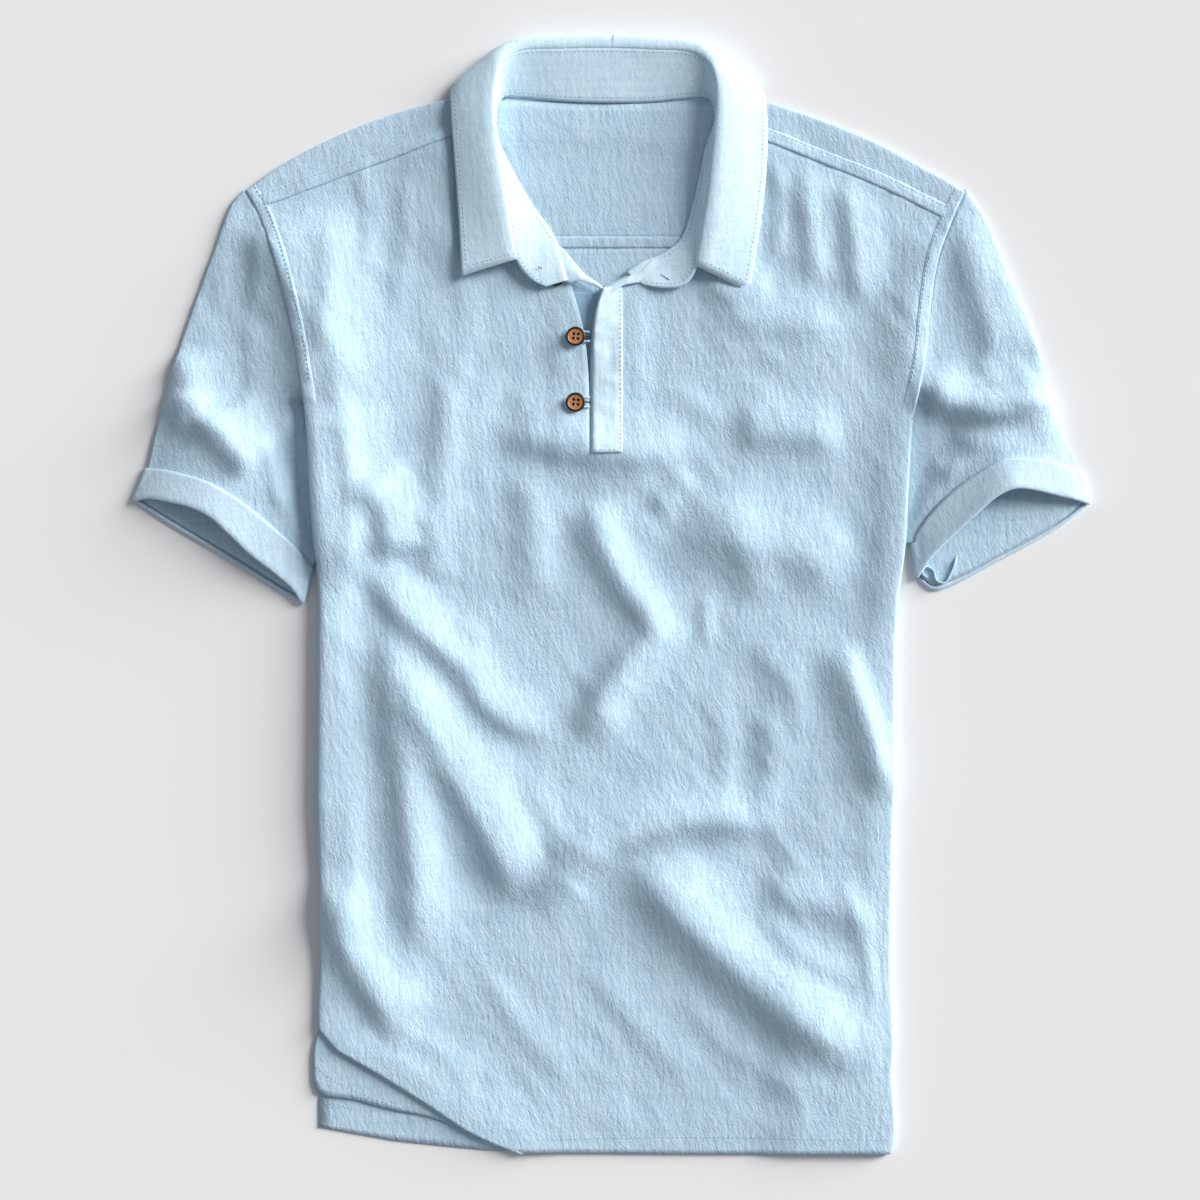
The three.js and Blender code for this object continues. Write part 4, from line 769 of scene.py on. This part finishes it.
left_turn, right_turn = side_patch(left_upper + left_rows), side_patch(right_upper + right_rows)
pleat_start = len(left_upper) + int(np.argmax(HEIGHTS < PLEAT_TOP))
pleat_rows = (left_upper + left_rows)[pleat_start:]
corner = curve(PLEAT_OUTER + PLEAT_HEM, len(pleat_rows) - 1)
pleat = []
for k, row in enumerate(pleat_rows):
    end = left_turn[pleat_start + k, -1]
    bend = end + row["inward"] * 1.2 - [0, 0, (end[2] - PLEAT_LEVEL) / 2]
    inner = np.array([end[0], end[1], PLEAT_LEVEL])
    outer = np.array([corner[k][0], corner[k][1], PLEAT_LEVEL])
    pleat.append(np.concatenate([[end, bend], straight(inner, outer, 9)]))
pleat = np.array(pleat)
pleat[:, 3:, 2] += 0.5 * crumple(pleat[:, 3:, 0], pleat[:, 3:, 1])
front_patches = [main, left_half, right_half, left_turn, right_turn, pleat]
front = cloth_piece("shirt_front", front_patches, shirt_cloth, "front_panel")

# Back panel


def back_height(x, y):
    edges = smooth(-375, -330, y) * smooth(YOKE_SEAM, 200, y) * smooth(0, 22, 190 - np.abs(x))
    return mix(FLOOR + 0.4 * relief(x, y) * edges, OVER_SIDES, over_sides(x, y))


def back_half(points):
    return mix(HALF, OVER_SIDES_HALF, over_sides(points[:, 0], points[:, 1]))


def back_edge(table, armhole, sign, y):
    """Where the back ends: at the armhole, short of the side's turn, or on the turned-under side."""
    if y > 60:
        return float(seam_x(armhole, y)) + sign * 0.3
    x, reach = float(column(table, 1, y)), float(column(table, 2, y))
    inside, outside = x + sign * (reach + 3), x + sign * 9
    beyond = float(smooth(-46, -60, y))
    if sign > 0:
        inside = mix(inside, -196, float(smooth(-280, -296, y)))
        return mix(inside, outside, beyond * float(smooth(-206, -194, y)))
    near = mix(float(seam_x(armhole, y)) - 0.5, inside, float(smooth(60, 30, y)))
    return mix(near, outside, beyond)


def back_row(y, depth=None):
    left, right = back_edge(LEFT_SIDE, LEFT_ARMHOLE, 1, y), back_edge(RIGHT_SIDE, RIGHT_ARMHOLE, -1, y)
    sides = np.linspace(left, TURNED_LEFT, 8), np.linspace(TURNED_RIGHT, right, 8)
    x = np.concatenate([sides[0], np.linspace(TURNED_LEFT, TURNED_RIGHT, 30)[1:], sides[1][1:]])
    return np.stack([x, np.full_like(x, y) if depth is None else depth(x)], axis=1)


def foot_at(x):
    points = np.array(BACK_FOOT)
    return np.interp(x, points[:, 0], points[:, 1])


back_heights = [*np.linspace(YOKE_SEAM, -40, 36), *np.linspace(-46, -60, 4), *np.linspace(-66, -340, 36)]
back_rows = [back_row(y) for y in back_heights]
back_rows += [back_row(-344 - 4 * k, lambda x, k=k: mix(-340, foot_at(x), k / 6)) for k in range(1, 7)]
back_x, back_y = np.moveaxis(np.array(back_rows), -1, 0)
back_grid = np.stack([back_x, back_y, back_height(back_x, back_y)], axis=-1)
back = cloth_piece("shirt_back", [back_grid], shirt_cloth, "back_panel", back_half)

# Yoke
TURN = 1.5  # radius of its turn over the shoulders
left_shoulder, right_shoulder = curve(LEFT_SHOULDER, 32), curve(RIGHT_SHOULDER, 32)
back_neck = curve([(-80, 331.5), (-57, 330.5), (-4, 328.5), (52, 330.5), (72, 331.5)], 28)
shoulder_inner = np.concatenate([
    left_shoulder + [0.8, -TURN, 0],
    back_neck[1:-1],
    right_shoulder + [-0.8, -TURN, 0],
])
yoke_foot = straight((-227, YOKE_SEAM + 0.5, 0), (220, YOKE_SEAM + 0.5, 0), len(shoulder_inner) - 1)


def yoke_border(armhole, start, end, inset):
    y = np.linspace(start[1], end[1], 19)
    border = np.stack([seam_x(armhole, y) + inset, y, np.zeros_like(y)], axis=1)
    border[0], border[-1] = start, end
    return border


yoke_back = filled(
    yoke_border(LEFT_ARMHOLE, shoulder_inner[0], yoke_foot[0], 0.5),
    yoke_border(RIGHT_ARMHOLE, shoulder_inner[-1], yoke_foot[-1], -0.5),
    shoulder_inner,
    yoke_foot,
)
yoke_back[..., 2] = FLOOR + collar_rise(yoke_back[..., 0], yoke_back[..., 1])
yoke_back[1:-1, 3:-3, 2] += 0.6 * crumple(yoke_back[1:-1, 3:-3, 0], yoke_back[1:-1, 3:-3, 1])


def shoulder_strip(lower, edge, seam):
    """The yoke's front part: a turn over the shoulder, then down to its seam with the front."""
    ends = curve(seam, len(lower) - 1)
    rows = []
    for k, bottom in enumerate(lower):
        turn = []
        for part in np.linspace(1, 0, 9)[1:]:
            reach = math.sin(math.pi * part)
            point = mix(bottom, edge[k], reach)
            point[2] = bottom[2] + TURN + TURN * math.cos(math.pi * part)
            turn.append(point)
        end = ends[k] + [0, 0.5, 0]
        line = straight(turn[-1], end, 8)[1:]
        share = np.linspace(0, 1, 9)[1:]
        line[:, 2] = mix(turn[-1][2], top_height(line[:, 0], line[:, 1]), smooth(0, 0.8, share))
        rows.append(np.concatenate([[bottom], turn, line]))
    return np.array(rows)


left_strip = shoulder_strip(yoke_back[0, :33], left_shoulder, LEFT_YOKE_SEAM)
right_strip = shoulder_strip(yoke_back[0, -33:], right_shoulder, RIGHT_YOKE_SEAM[::-1])
yoke = cloth_piece("shirt_yoke", [yoke_back, left_strip, right_strip], shirt_cloth, "back_yoke")

# Sleeves and cuffs
ACROSS, DOWN, INSIDE = 44, 44, 6  # points across, down to the cuff, and inside the cuff


def closed_ring(top, bottom):
    """A ring through the upper and the under side of a sleeve, with a round turn at each edge."""
    def turn(k, nxt):
        inward = (top[nxt] - top[k]) * [1, 1, 0]
        inward = inward / np.linalg.norm(inward)
        up, down = max(top[k][2], bottom[k][2] + 1.7), bottom[k][2]
        middle, r = (up + down) / 2, min(1.6, (up - down) / 2)
        edge = top[k] * [1, 1, 0]
        arc = []
        for part in np.linspace(0, 1, 7):
            height = middle + (up - down) / 2 * math.cos(math.pi * part)
            arc.append(edge + inward * r * (1 - math.sin(math.pi * part)) + [0, 0, height])
        return arc

    first, last = turn(0, 1), turn(len(top) - 1, len(top) - 2)
    return np.array([first[0], *top[1:-1], *last, *bottom[1:-1][::-1], *first[::-1]])


def sleeve_rings(shape, armhole, table, sign):
    """Rings from the armhole down to the cuff and on inside it."""
    seam = spaced(np.array([(seam_x(armhole, y) + sign * 0.7, y, 0) for y in shape["heights"]]), ACROSS)
    outer, inner = curve(shape["outer"], DOWN), curve(shape["inner"], DOWN)
    outer[0], inner[0] = seam[0], seam[-1]
    cuff_top, mouth_top = curve(shape["cuff_line"], ACROSS), curve(shape["mouth"], ACROSS)
    cuff_under, mouth_under = curve(shape["cuff_under"], ACROSS), curve(shape["mouth_under"], ACROSS)
    upper, under = filled(outer, inner, seam, flat_of(cuff_top)), filled(outer, inner, seam, cuff_under)
    rings = []
    for i in range(DOWN + INSIDE + 1):
        into = max(0, (i - DOWN) / INSIDE) * 0.86
        down = min(1.0, i / DOWN)
        a = upper[i].copy() if i <= DOWN else mix(cuff_top, mouth_top, into)
        b = under[i].copy() if i <= DOWN else mix(cuff_under, mouth_under, into)
        low = FLOOR + 1.65 * float(smooth(0.72, 0.92, down))
        body = column(table, 1, a[:, 1])
        clear = np.where(a[:, 1] > 138, 1, smooth(2, 16, sign * (a[:, 0] - body)))
        free = smooth(140, 128, a[:, 1])
        plain = mix(top_height(a[:, 0], a[:, 1]), FRONT, free)
        loose = plain + relief(a[:, 0], a[:, 1]) * clear * free
        arch = mix(cuff_top[:, 2], mouth_top[:, 2], into)
        flat_end = float(smooth(1, 0.5, down) * smooth(0, 0.12, down))
        arching = float(smooth(0.4, 1, down))
        kept = relief(a[:, 0], a[:, 1]) * clear * free * arching * float(smooth(0.98, 0.72, down))
        lowest = low + LAYER + 0.3 * relief(a[:, 0], a[:, 1]) * flat_end
        a[:, 2] = np.maximum(mix(loose, arch, arching) + kept, lowest)
        b[:, 2] = low + 0.3 * relief(b[:, 0], b[:, 1]) * flat_end
        rings.append(closed_ring(a, b))
    return np.array(rings)


def moved_out(rings, distance):
    """Rings moved out from their own surface."""
    ring = rings[:, :-1]
    around = np.roll(ring, -1, axis=1) - np.roll(ring, 1, axis=1)
    ahead = np.gradient(ring, axis=0)
    out = ring + unit(np.cross(around, ahead)) * distance
    return np.concatenate([out, out[:, :1]], axis=1)


def cuff_grid(rings, sign):
    """The turned-up cuff: along the sleeve's mouth, round its lip and back up outside."""
    inner = rings[DOWN:].copy()
    inner[0] = mix(inner[0], inner[1], 0.3)
    ahead = unit(inner[-1] - inner[-2])
    grid = np.concatenate([inner, (inner[-1] + ahead * 2.6)[None]])
    out, mid = moved_out(grid, sign * 1.65), moved_out(grid, sign * 0.82)
    tip = mid[-1] + ahead * 0.8
    quarter = [mix(out[-1], tip, 0.5) + ahead * 0.22, tip, mix(tip, grid[-1], 0.5) + ahead * 0.22]
    rows = np.concatenate([out, np.array(quarter), grid[-1][None], (inner[-1] + ahead * 1.1)[None]])
    rows[:, -1] = rows[:, 0]
    return rows


left_rings = sleeve_rings(LEFT_SLEEVE, LEFT_ARMHOLE, LEFT_SIDE, -1)
right_rings = sleeve_rings(RIGHT_SLEEVE, RIGHT_ARMHOLE, RIGHT_SIDE, 1)
sleeves, cuffs = {}, {}
for side, rings, sign in (("left", left_rings, -1), ("right", right_rings, 1)):
    sleeves[side] = cloth_piece(f"shirt_sleeve_{side}", [rings], shirt_cloth, f"sleeve_{side}")
    cuffs[side] = cloth_piece(f"turned_cuff_{side}", [cuff_grid(rings, sign)], facing_cloth, f"cuff_{side}")

# Collar
stand_points = []
for (x, y, clear), fold in STAND:
    z = FRONT + float(ridges(CRESTS, np.array([x]), np.array([y]))[0]) * 0.6
    stand_points.append(((x, y, z + float(placket_rise(x, y)) + clear), fold))
neck_line = curve([p[0] for p in stand_points], 150, even=False)
fold_line = curve([p[1] for p in stand_points], 150, even=False)
stand_grid = []
for a, b in zip(neck_line, fold_line):
    outward = (b - a) * [1, 1, 0]
    outward = outward / np.linalg.norm(outward)
    foot = a - outward * 1.7 - [0, 0, 0.75]
    rising = [mix(a, b, t) + outward * 0.6 * math.sin(math.pi * t) for t in np.linspace(0, 1, 11)]
    stand_grid.append([foot, *rising])
stand_grid = np.array(stand_grid)
stand = cloth_piece("collar_stand_cloth", [stand_grid], collar_cloth_painted_light, "collar_stand")

leaf_lines = [curve([row[k] for row in LEAF], 150, even=False) for k in range(5)]
leaf_grid = []
for row in zip(*leaf_lines):
    inward = (row[0] - row[1]) * [1, 1, 0]
    inward = inward / np.linalg.norm(inward)
    lip = [row[0] + inward * 1.2 - [0, 0, 2.2], row[0] + inward * 0.7 + [0, 0, 0.2]]
    line = curve([*lip, *row[1:]], 30, even=False)
    line[:, 2] = np.maximum(line[:, 2], FLOOR)
    leaf_grid.append(line)
leaf_grid = np.array(leaf_grid)
leaf = cloth_piece("collar_leaf_cloth", [leaf_grid], collar_cloth_painted_light, "collar_leaf")

# Felled seams, hems and their stitches


def ribbon(line, offsets):
    """Plan points beside a line, at offsets to its left."""
    line = np.asarray(line, float)
    ahead = unit(np.gradient(line[:, :2], axis=0))
    side = np.stack([-ahead[:, 1], ahead[:, 0]], axis=1)
    return line[:, None, :2] + side[:, None] * np.asarray(offsets, float)[None, :, None]


def puckers(x, y, size=0.5):
    """Small unevenness that sewing leaves in a seam."""
    return size * (lumps(x, y, 5.5, 2) - 0.5)


def band(name, plan, lifts, height, material, parent, sinks=False):
    """A raised band of cloth on plan points. Its lifts give the cross-section, and its end may sink away."""
    x, y = plan[..., 0], plan[..., 1]
    ends = np.arange(len(plan))
    fade = 1 - smooth(len(plan) - 9, len(plan) - 1, ends)[:, None] if sinks else np.ones((len(plan), 1))
    raised = np.asarray(lifts)[None] + puckers(x, y) * (np.asarray(lifts)[None] > 0.2)
    z = height(x, y) + mix(-0.4, raised, fade)
    bands[parent].append(wall(name, [np.stack([x, y, z], axis=-1)], material, BAND_HALF))


def on_cloth(plan, height, lift=0.1):
    """A stitch line on the cloth: its points and the way up from it."""
    x, y = plan[:, 0], plan[:, 1]
    points = np.stack([x, y, height(x, y) + lift], axis=1)
    slope_x = height(x + 0.5, y) - height(x - 0.5, y)
    slope_y = height(x, y + 0.5) - height(x, y - 0.5)
    return points, unit(np.stack([-slope_x, -slope_y, np.ones_like(x)], axis=1))


def rows_from_end(grid, distances):
    """Points at distances back from the end of each row of a grid. Negative ones lie beyond the end."""
    out = []
    for row in grid:
        back = row[::-1]
        run = run_along(back)
        beyond = (back[0] - back[1]) / np.linalg.norm(back[0] - back[1])
        inside = at_lengths(back, run, np.maximum(distances, 0))
        out.append(inside - beyond * np.minimum(distances, 0)[:, None])
    return np.array(out)


bands = {"front": [], "yoke": [], "back": []}  # raised seams, by the sheet they are part of
seam_lines = []  # lines for stitches, each with the way out of the cloth


def surface(x, y):
    return top_height(x, y) + HALF


# Armholes: the seam lies on the body side
left_hole = curve([(seam_x(LEFT_ARMHOLE, y), y) for y in (271.6, 254, 230, 200, 170, 145, 122)], 104)
right_hole = curve([(seam_x(RIGHT_ARMHOLE, y), y) for y in (270.8, 250, 225, 195, 160, 118)], 100)
profile_places = np.array([-1.0, -0.5, 0.3, 1.2, 2.6, 4.2, 5.6, 6.3, 7.0, 7.6])
profile_lifts = np.array([0.0, 0.7, 0.95, 0.8, 0.8, 0.62, 0.36, 0.34, 0.1, -0.3])
for side, hole, sign in (("left", left_hole, 1), ("right", right_hole, -1)):
    plan = ribbon(hole, profile_places * sign)
    band(f"armhole_seam_{side}", plan, profile_lifts, surface, shirt_cloth, "front", True)
    for offset in (1.5, 5.7):
        seam_lines.append(on_cloth(ribbon(hole, [offset * sign])[:-14, 0], surface, 0.85))

# Shoulder seams: the seam lies on the yoke
for side, strip in (("left", left_strip), ("right", right_strip)):
    rows = rows_from_end(strip, np.array([-1.3, -0.8, 0.0, 1.2, 3.0, 5.0, 6.2, 7.0, 7.8]))
    lifts = np.array([-0.1, 0.6, 0.9, 0.75, 0.8, 0.7, 0.35, 0.3, -0.2])
    raised = lifts + puckers(rows[..., 0], rows[..., 1], 0.7)
    fade = np.ones((len(rows), 1))
    fade[0 if side == "left" else -1] = 0
    rows[..., 2] += HALF + mix(-0.5, raised, fade)
    bands["yoke"].append(wall(f"shoulder_seam_{side}", [rows], shirt_cloth, BAND_HALF))
    seam_lines.append(facing_up(rows[:, 6] + [0, 0, 0.28]))

# Yoke seam inside the back


def inside_back(x, y):
    return np.where(y > YOKE_SEAM, FLOOR + 0.3, FLOOR) + HALF


across = np.stack([np.linspace(-227, 219, 300), np.full(300, 233.0)], axis=1)
seam_plan = ribbon(across, [-0.4, 0.1, 1.2, 3.5, 5.8, 6.6, 7.4])
band("yoke_seam", seam_plan, [-0.2, 0.6, 1.1, 0.7, 1.1, 0.6, 0.0], inside_back, shirt_cloth, "back")
for offset in (0.9, 6.4):
    plan = ribbon(across[118:184], [offset])[:, 0]
    seam_lines.append(on_cloth(plan, lambda x, y: np.full_like(x, 1.72)))

# Hems
hem_x = np.linspace(-50, 186, 120)
seam_lines.append(on_cloth(np.stack([hem_x, -363 + 0.6 * np.sin(hem_x / 40)], axis=1), surface))
pleat_hem = curve([(-198, -315), (-188, -323), (-170, -332), (-150, -340), (-138, -344)], 40)
seam_lines.append(facing_up(pleat_hem + [0, 0, 3.3]))
back_hem = curve([(-193, -340), (-176, -342.5), (-158, -345.4), (-146, -348)], 30)
seam_lines.append(facing_up(back_hem + [0, 0, FLOOR + 0.7]))

# Placket
left_edge = curve([(-13.6, 95), (-13.2, 140), (-12.2, 178), (-9.5, 194), (-5.5, 205.5)], 63)
right_edge = curve([(7, 95.5), (7.2, 140), (7, 178), (7, 207)], 63)
top_strip = []
for a, b in zip(left_edge, right_edge):
    line = straight(a, b, 12)
    line[-3:-1, 0] = line[-1, 0] - [1.1, 0.5]
    lift = 5.4 * smooth(150, 204, a[1]) * np.linspace(1, 0, 13) ** 1.5
    z = top_height(line[:, 0], line[:, 1]) + 1.05 + lift + puckers(line[:, 0], line[:, 1], 0.9)
    z[0] -= 0.5
    z[-2:] -= [0.1, 1.2]
    line[:, 2] = z
    under_turn = line[0] + [1.2, 0, -0.55]
    top_strip.append(np.concatenate([[under_turn], line]))
top_strip = np.array(top_strip)
# The placket top takes the lighter collar cloth: painted light on the raised strip.
placket_top = cloth_piece("placket_top_cloth", [top_strip], collar_cloth_painted_light, "placket_top", 0.45)
seam_lines.append(facing_up(top_strip[1:, 11] + [0.1, 0, 0.55]))
seam_lines.append(facing_up(top_strip[1, 2:12] + [0, 0.3, 0.55]))

under_left = curve([(-20, 93), (-20, 140), (-24, 178), (-30, 204)], 50)
under_right = curve([(0.5, 93), (0.5, 140), (0.5, 178), (-4, 202)], 50)
under_strip = np.array([straight(a, b, 10) for a, b in zip(under_left, under_right)])
under_strip[..., 2] = FRONT
# The under placket is given the darker cloth: painted shade under the top strip.
placket_under = cloth_piece("placket_under_cloth", [under_strip], under_cloth_painted_shade, "placket_under")

# Neck edges beside the placket, turned up: the upper edge and the lower edge of each
neck_turns = {
    "left": (
        [(-39, 237, 2.6), (-32.7, 232, 4.4), (-27.8, 226.4, 5.2), (-22.1, 219.1, 5.4), (-16.4, 213.4, 6),
            (-9.1, 208.6, 6.6), (-4.6, 204.4, 6.6)],
        [(-40, 222, 4.6), (-36, 214, 6.4), (-29, 208.8, 7.4), (-22.1, 210.4, 7.8), (-16.4, 208.6, 7.6),
            (-10.7, 206.6, 7.4), (-5.4, 203.6, 7)],
    ),
    "right": (
        [(35.5, 226.4, 3.6), (26.6, 223.6, 5.2), (18.4, 217.5, 4.8), (10.4, 212.6, 6), (2.2, 208.5, 6.8),
            (-4.2, 204.5, 7), (-8.4, 199.6, 6.8)],
        [(30, 213, 4.4), (20.9, 209.3, 5.4), (12.8, 208.2, 6.8), (7, 206.7, 7.6), (2.2, 203.2, 7.8),
            (-2.6, 199.6, 7.6), (-7.6, 196.4, 7)],
    ),
}
for side, (upper_edge, lower_edge) in neck_turns.items():
    upper_line, lower_line = curve(upper_edge, 60, even=False), curve(lower_edge, 60, even=False)
    grid = []
    for a, b in zip(upper_line, lower_line):
        line = straight(a, b, 10)
        line[:, 2] += 0.9 * np.sin(np.linspace(0, math.pi, 11)) + puckers(line[:, 0], line[:, 1], 0.3)
        grid.append(line)
    bands["front"].append(wall(f"neck_edge_{side}", [np.array(grid)], collar_cloth_painted_light, 0.4))

# Stand and leaf: stitch lines along their edges


def line_on(grid, distance, flip, inset, from_start=False):
    """A line on a grid at a distance from its rows' ends, just off the side that shows."""
    line = rows_from_end(grid[:, ::-1] if from_start else grid, np.array([distance]))[:, 0]
    normals = unit(np.cross(np.gradient(grid, axis=0), np.gradient(grid, axis=1)))
    near = np.argmin(np.linalg.norm(grid - line[:, None], axis=-1), axis=1)
    out = normals[np.arange(len(grid)), near] * flip
    line, out = line[inset:len(line) - inset], out[inset:len(out) - inset]
    return line + out * (HALF + 0.05), out


def way_up(grid, row, column):
    """1 where the grid's own normal points up at a place, and -1 where it points down."""
    corner = grid[row - 1, column]
    return 1 if np.cross(grid[row, column] - corner, grid[row - 1, column + 1] - corner)[2] > 0 else -1


leaf_up, stand_up = way_up(leaf_grid, 10, 20), way_up(stand_grid, 75, 5)
on_shirt = leaf_grid[:, -1, 2] > 4
for part in (slice(0, 75), slice(75, None)):
    seam_lines.append(line_on(leaf_grid[part][on_shirt[part]], 3.6, leaf_up, 1))
for row in (1, -2):
    seam_lines.append(facing_up(leaf_grid[row, 5:-2] + [0, 0, HALF + 0.1]))
seam_lines.append(line_on(stand_grid, 3.2, stand_up, 3))
seam_lines.append(line_on(stand_grid, 3.2, stand_up, 16, from_start=True))
# The stitches' dark thread carries painted shade of their holes and grooves.
stitches("seam_stitches", seam_lines, thread_and_stitch_shade)

# Mark at the middle of the collar's back
tick = np.array([(0.8, 367.5, 10.9), (1.2, 371, 11.3), (1.5, 374.4, 10.2)])
stitches("collar_tick", [facing_up(tick)], thread_and_stitch_shade, 2.4, 2.6, 0.3)

# The inner end of the right cuff, which curls over on itself
curl = [
    (231, 28), (227.5, 17), (222.5, 8.5), (217, 10),
    (214.5, 17), (209.5, 19), (207.5, 14.5), (210.5, 12),
]
curl_rows = []
for k, foot in enumerate(curve(curl, 60)):
    top = foot + [0.7, 0.3, 2.3 + 3.4 * float(smooth(0, 9, k))]
    curl_rows.append(straight(foot + [0, 0, 2.3], top, 5))
curl_end = wall("cuff_curl", [np.array(curl_rows)], facing_cloth, 0.45)

# Buttons


def button(name, x, y, z):
    """A turned disc with a dark rim and four sunk holes, their hollows painted near-black as shade."""
    profile = [(0.3, 0.0), (4.6, 0.0), (5.9, 0.45), (6.4, 0.95), (6.5, 1.4), (6.45, 1.85), (6.2, 2.2)]
    profile += [(5.8, 2.38), (5.4, 2.38), (5.1, 2.2), (4.9, 2.0), (4.6, 1.86)]
    rim_count, face_start, round_count = 10, len(profile) - 1, 96
    profile += [(r, 1.72 + 0.02 * r) for r in np.arange(4.2, 0.1, -0.17)]
    points, faces, colours = [], [], []
    holes = [(2.2 * math.cos(a), 2.2 * math.sin(a)) for a in np.radians([40, 130, 220, 310])]
    angles = np.linspace(0, 2 * math.pi, round_count, endpoint=False)
    for k, (r, h) in enumerate(profile):
        for angle in angles:
            px, py = r * math.cos(angle), r * math.sin(angle)
            pz = h
            if k > face_start:
                near = min(math.hypot(px - hx, py - hy) for hx, hy in holes)
                pz -= 1.1 * float(smooth(1.15, 0.8, near))
            points.append((x + px, y + py, z + pz))
    points += [(x, y, z), (x, y, z + profile[-1][1])]
    for k in range(len(profile) - 1):
        for m in range(round_count):
            n = (m + 1) % round_count
            a, b = k * round_count, (k + 1) * round_count
            faces.append([a + m, a + n, b + n, b + m])
            # Faces sunk deep in a hole take the near-black painted shade.
            deep = k > face_start and points[a + m][2] < z + profile[k][1] - 0.55
            colours.append(2 if deep else 1 if k < rim_count else 0)
    last = (len(profile) - 1) * round_count
    for m in range(round_count):
        n = (m + 1) % round_count
        faces.append([n, m, len(points) - 2])
        faces.append([last + m, last + n, len(points) - 1])
        colours += [1, 0]
    piece = mesh_object(name, points, faces, wood)
    piece.data.materials.append(wood_rim)
    piece.data.materials.append(hole_painted_shade)
    piece.data.polygons.foreach_set("material_index", colours)
    return piece


def cord(name, path, radius, material, steps=60, sides=10):
    """A round cord along a path."""
    line = curve(path, steps)
    ahead = unit(np.gradient(line, axis=0))
    side = unit(np.cross(ahead, [0, 0, 1.0]))
    up = np.cross(side, ahead)
    angles = np.linspace(0, 2 * math.pi, sides, endpoint=False)
    out = side[:, None] * np.cos(angles)[None, :, None] + up[:, None] * np.sin(angles)[None, :, None]
    points = (line[:, None] + radius * out).reshape(-1, 3)
    faces = []
    for k in range(steps):
        for m in range(sides):
            n = (m + 1) % sides
            faces.append([k * sides + m, k * sides + n, (k + 1) * sides + n, (k + 1) * sides + m])
    faces.append(list(range(sides))[::-1])
    faces.append([steps * sides + m for m in range(sides)])
    piece = mesh_object(name, points, faces, material)
    return piece


for label, (x, y) in (("upper", (-24, 173)), ("lower", (-24, 129))):
    highest = max(float(top_height(x + a, y + b)) for a, b in ((0, 0), (-6, 0), (6, 4), (6, -4)))
    z = highest + HALF + 0.3 + 0.7
    way = [(9.6, 3, 0.2), (3, 3.4, 0), (-2.4, 2.6, 0), (-4, 0, 0)]
    way += [(-2.4, -2.6, 0), (3, -3.4, 0), (9.6, -3, 0.2)]
    tie = cord(f"loop_{label}", [(x + a, y + b, z + c) for a, b, c in way], 0.7, facing_cloth)
    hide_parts(f"button_loop_{label}")
    disc = button(f"wood_button_{label}", x, y, z + 1.0)
    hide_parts(f"button_{label}")
    way = [(5.5, 0.4, 0.9), (7.6, 0.2, 0.6), (9.8, 0, 0.3)]
    cord(f"button_thread_{label}", [(x + a, y + b, z + c) for a, b, c in way], 0.55, thread_dark, 12)

# The button at the collar's end that only shows its edge, its thread, and the buttonhole across from it
button("wood_button_collar", -37.4, 213.2, 4.9)
thread_lines = []
for d in (0.0, 1.4):
    ends = np.array([-48.8, 219.0, 10.4]) + [[d, 1.3 - d * 0.3, 0.3], [d + 0.5, -1.3 - d * 0.3, 0.1]]
    thread_lines.append((ends, np.tile([0.2, 0.0, 1.0], (2, 1))))
stitches("collar_button_thread", thread_lines, thread_dark, 3.0, 2.6, 0.3)
buttonhole = np.array([(33.2, 214.6, 6.4), (36.4, 212.4, 6.9), (39.2, 210.8, 7.4)])
stitches("collar_buttonhole", [facing_up(buttonhole)], thread_and_stitch_shade, 3.3, 5.6, 0.5)

# Floor, camera and light
scene = bpy.context.scene
scene.view_settings.view_transform = "Standard"
scene.view_settings.look = "None"

floor_mesh = bpy.data.meshes.new("floor")
floor_mesh.from_pydata([(-3, -3, 0), (3, -3, 0), (3, 3, 0), (-3, 3, 0)], [], [(0, 1, 2, 3)])
floor = bpy.data.objects.new("floor", floor_mesh)
scene.collection.objects.link(floor)
paper = bpy.data.materials.new("paper")
paper.use_nodes = True
paper_shader = paper.node_tree.nodes["Principled BSDF"]
paper_shader.inputs["Base Color"].default_value = (0.82, 0.82, 0.82, 1)
paper_shader.inputs["Roughness"].default_value = 0.9
floor_mesh.materials.append(paper)

camera_data = bpy.data.cameras.new("camera")
camera_data.lens = 100
camera_data.sensor_width = 36
camera = bpy.data.objects.new("camera", camera_data)
camera.location = (-0.0077, -0.0030, 2.233)
scene.collection.objects.link(camera)
scene.camera = camera

suns = (("sun_high", 2.55, 24, (1.0, 0.6, 0.8)), ("sun_low", 4.2, 30, (1.0, 0.5, 0.2)))
for name, energy, angle, way in suns:
    sun_data = bpy.data.lights.new(name, "SUN")
    sun_data.energy = energy
    sun_data.color = (1.0, 0.985, 0.965)
    sun_data.angle = math.radians(angle)
    sun = bpy.data.objects.new(name, sun_data)
    sun.rotation_euler = Vector(way).to_track_quat("Z", "Y").to_euler()
    scene.collection.objects.link(sun)
world = bpy.data.worlds.new("world")
scene.world = world
world.use_nodes = True
background = world.node_tree.nodes["Background"]
background.inputs["Color"].default_value = (0.95, 0.99, 1.06, 1)
background.inputs["Strength"].default_value = 0.275
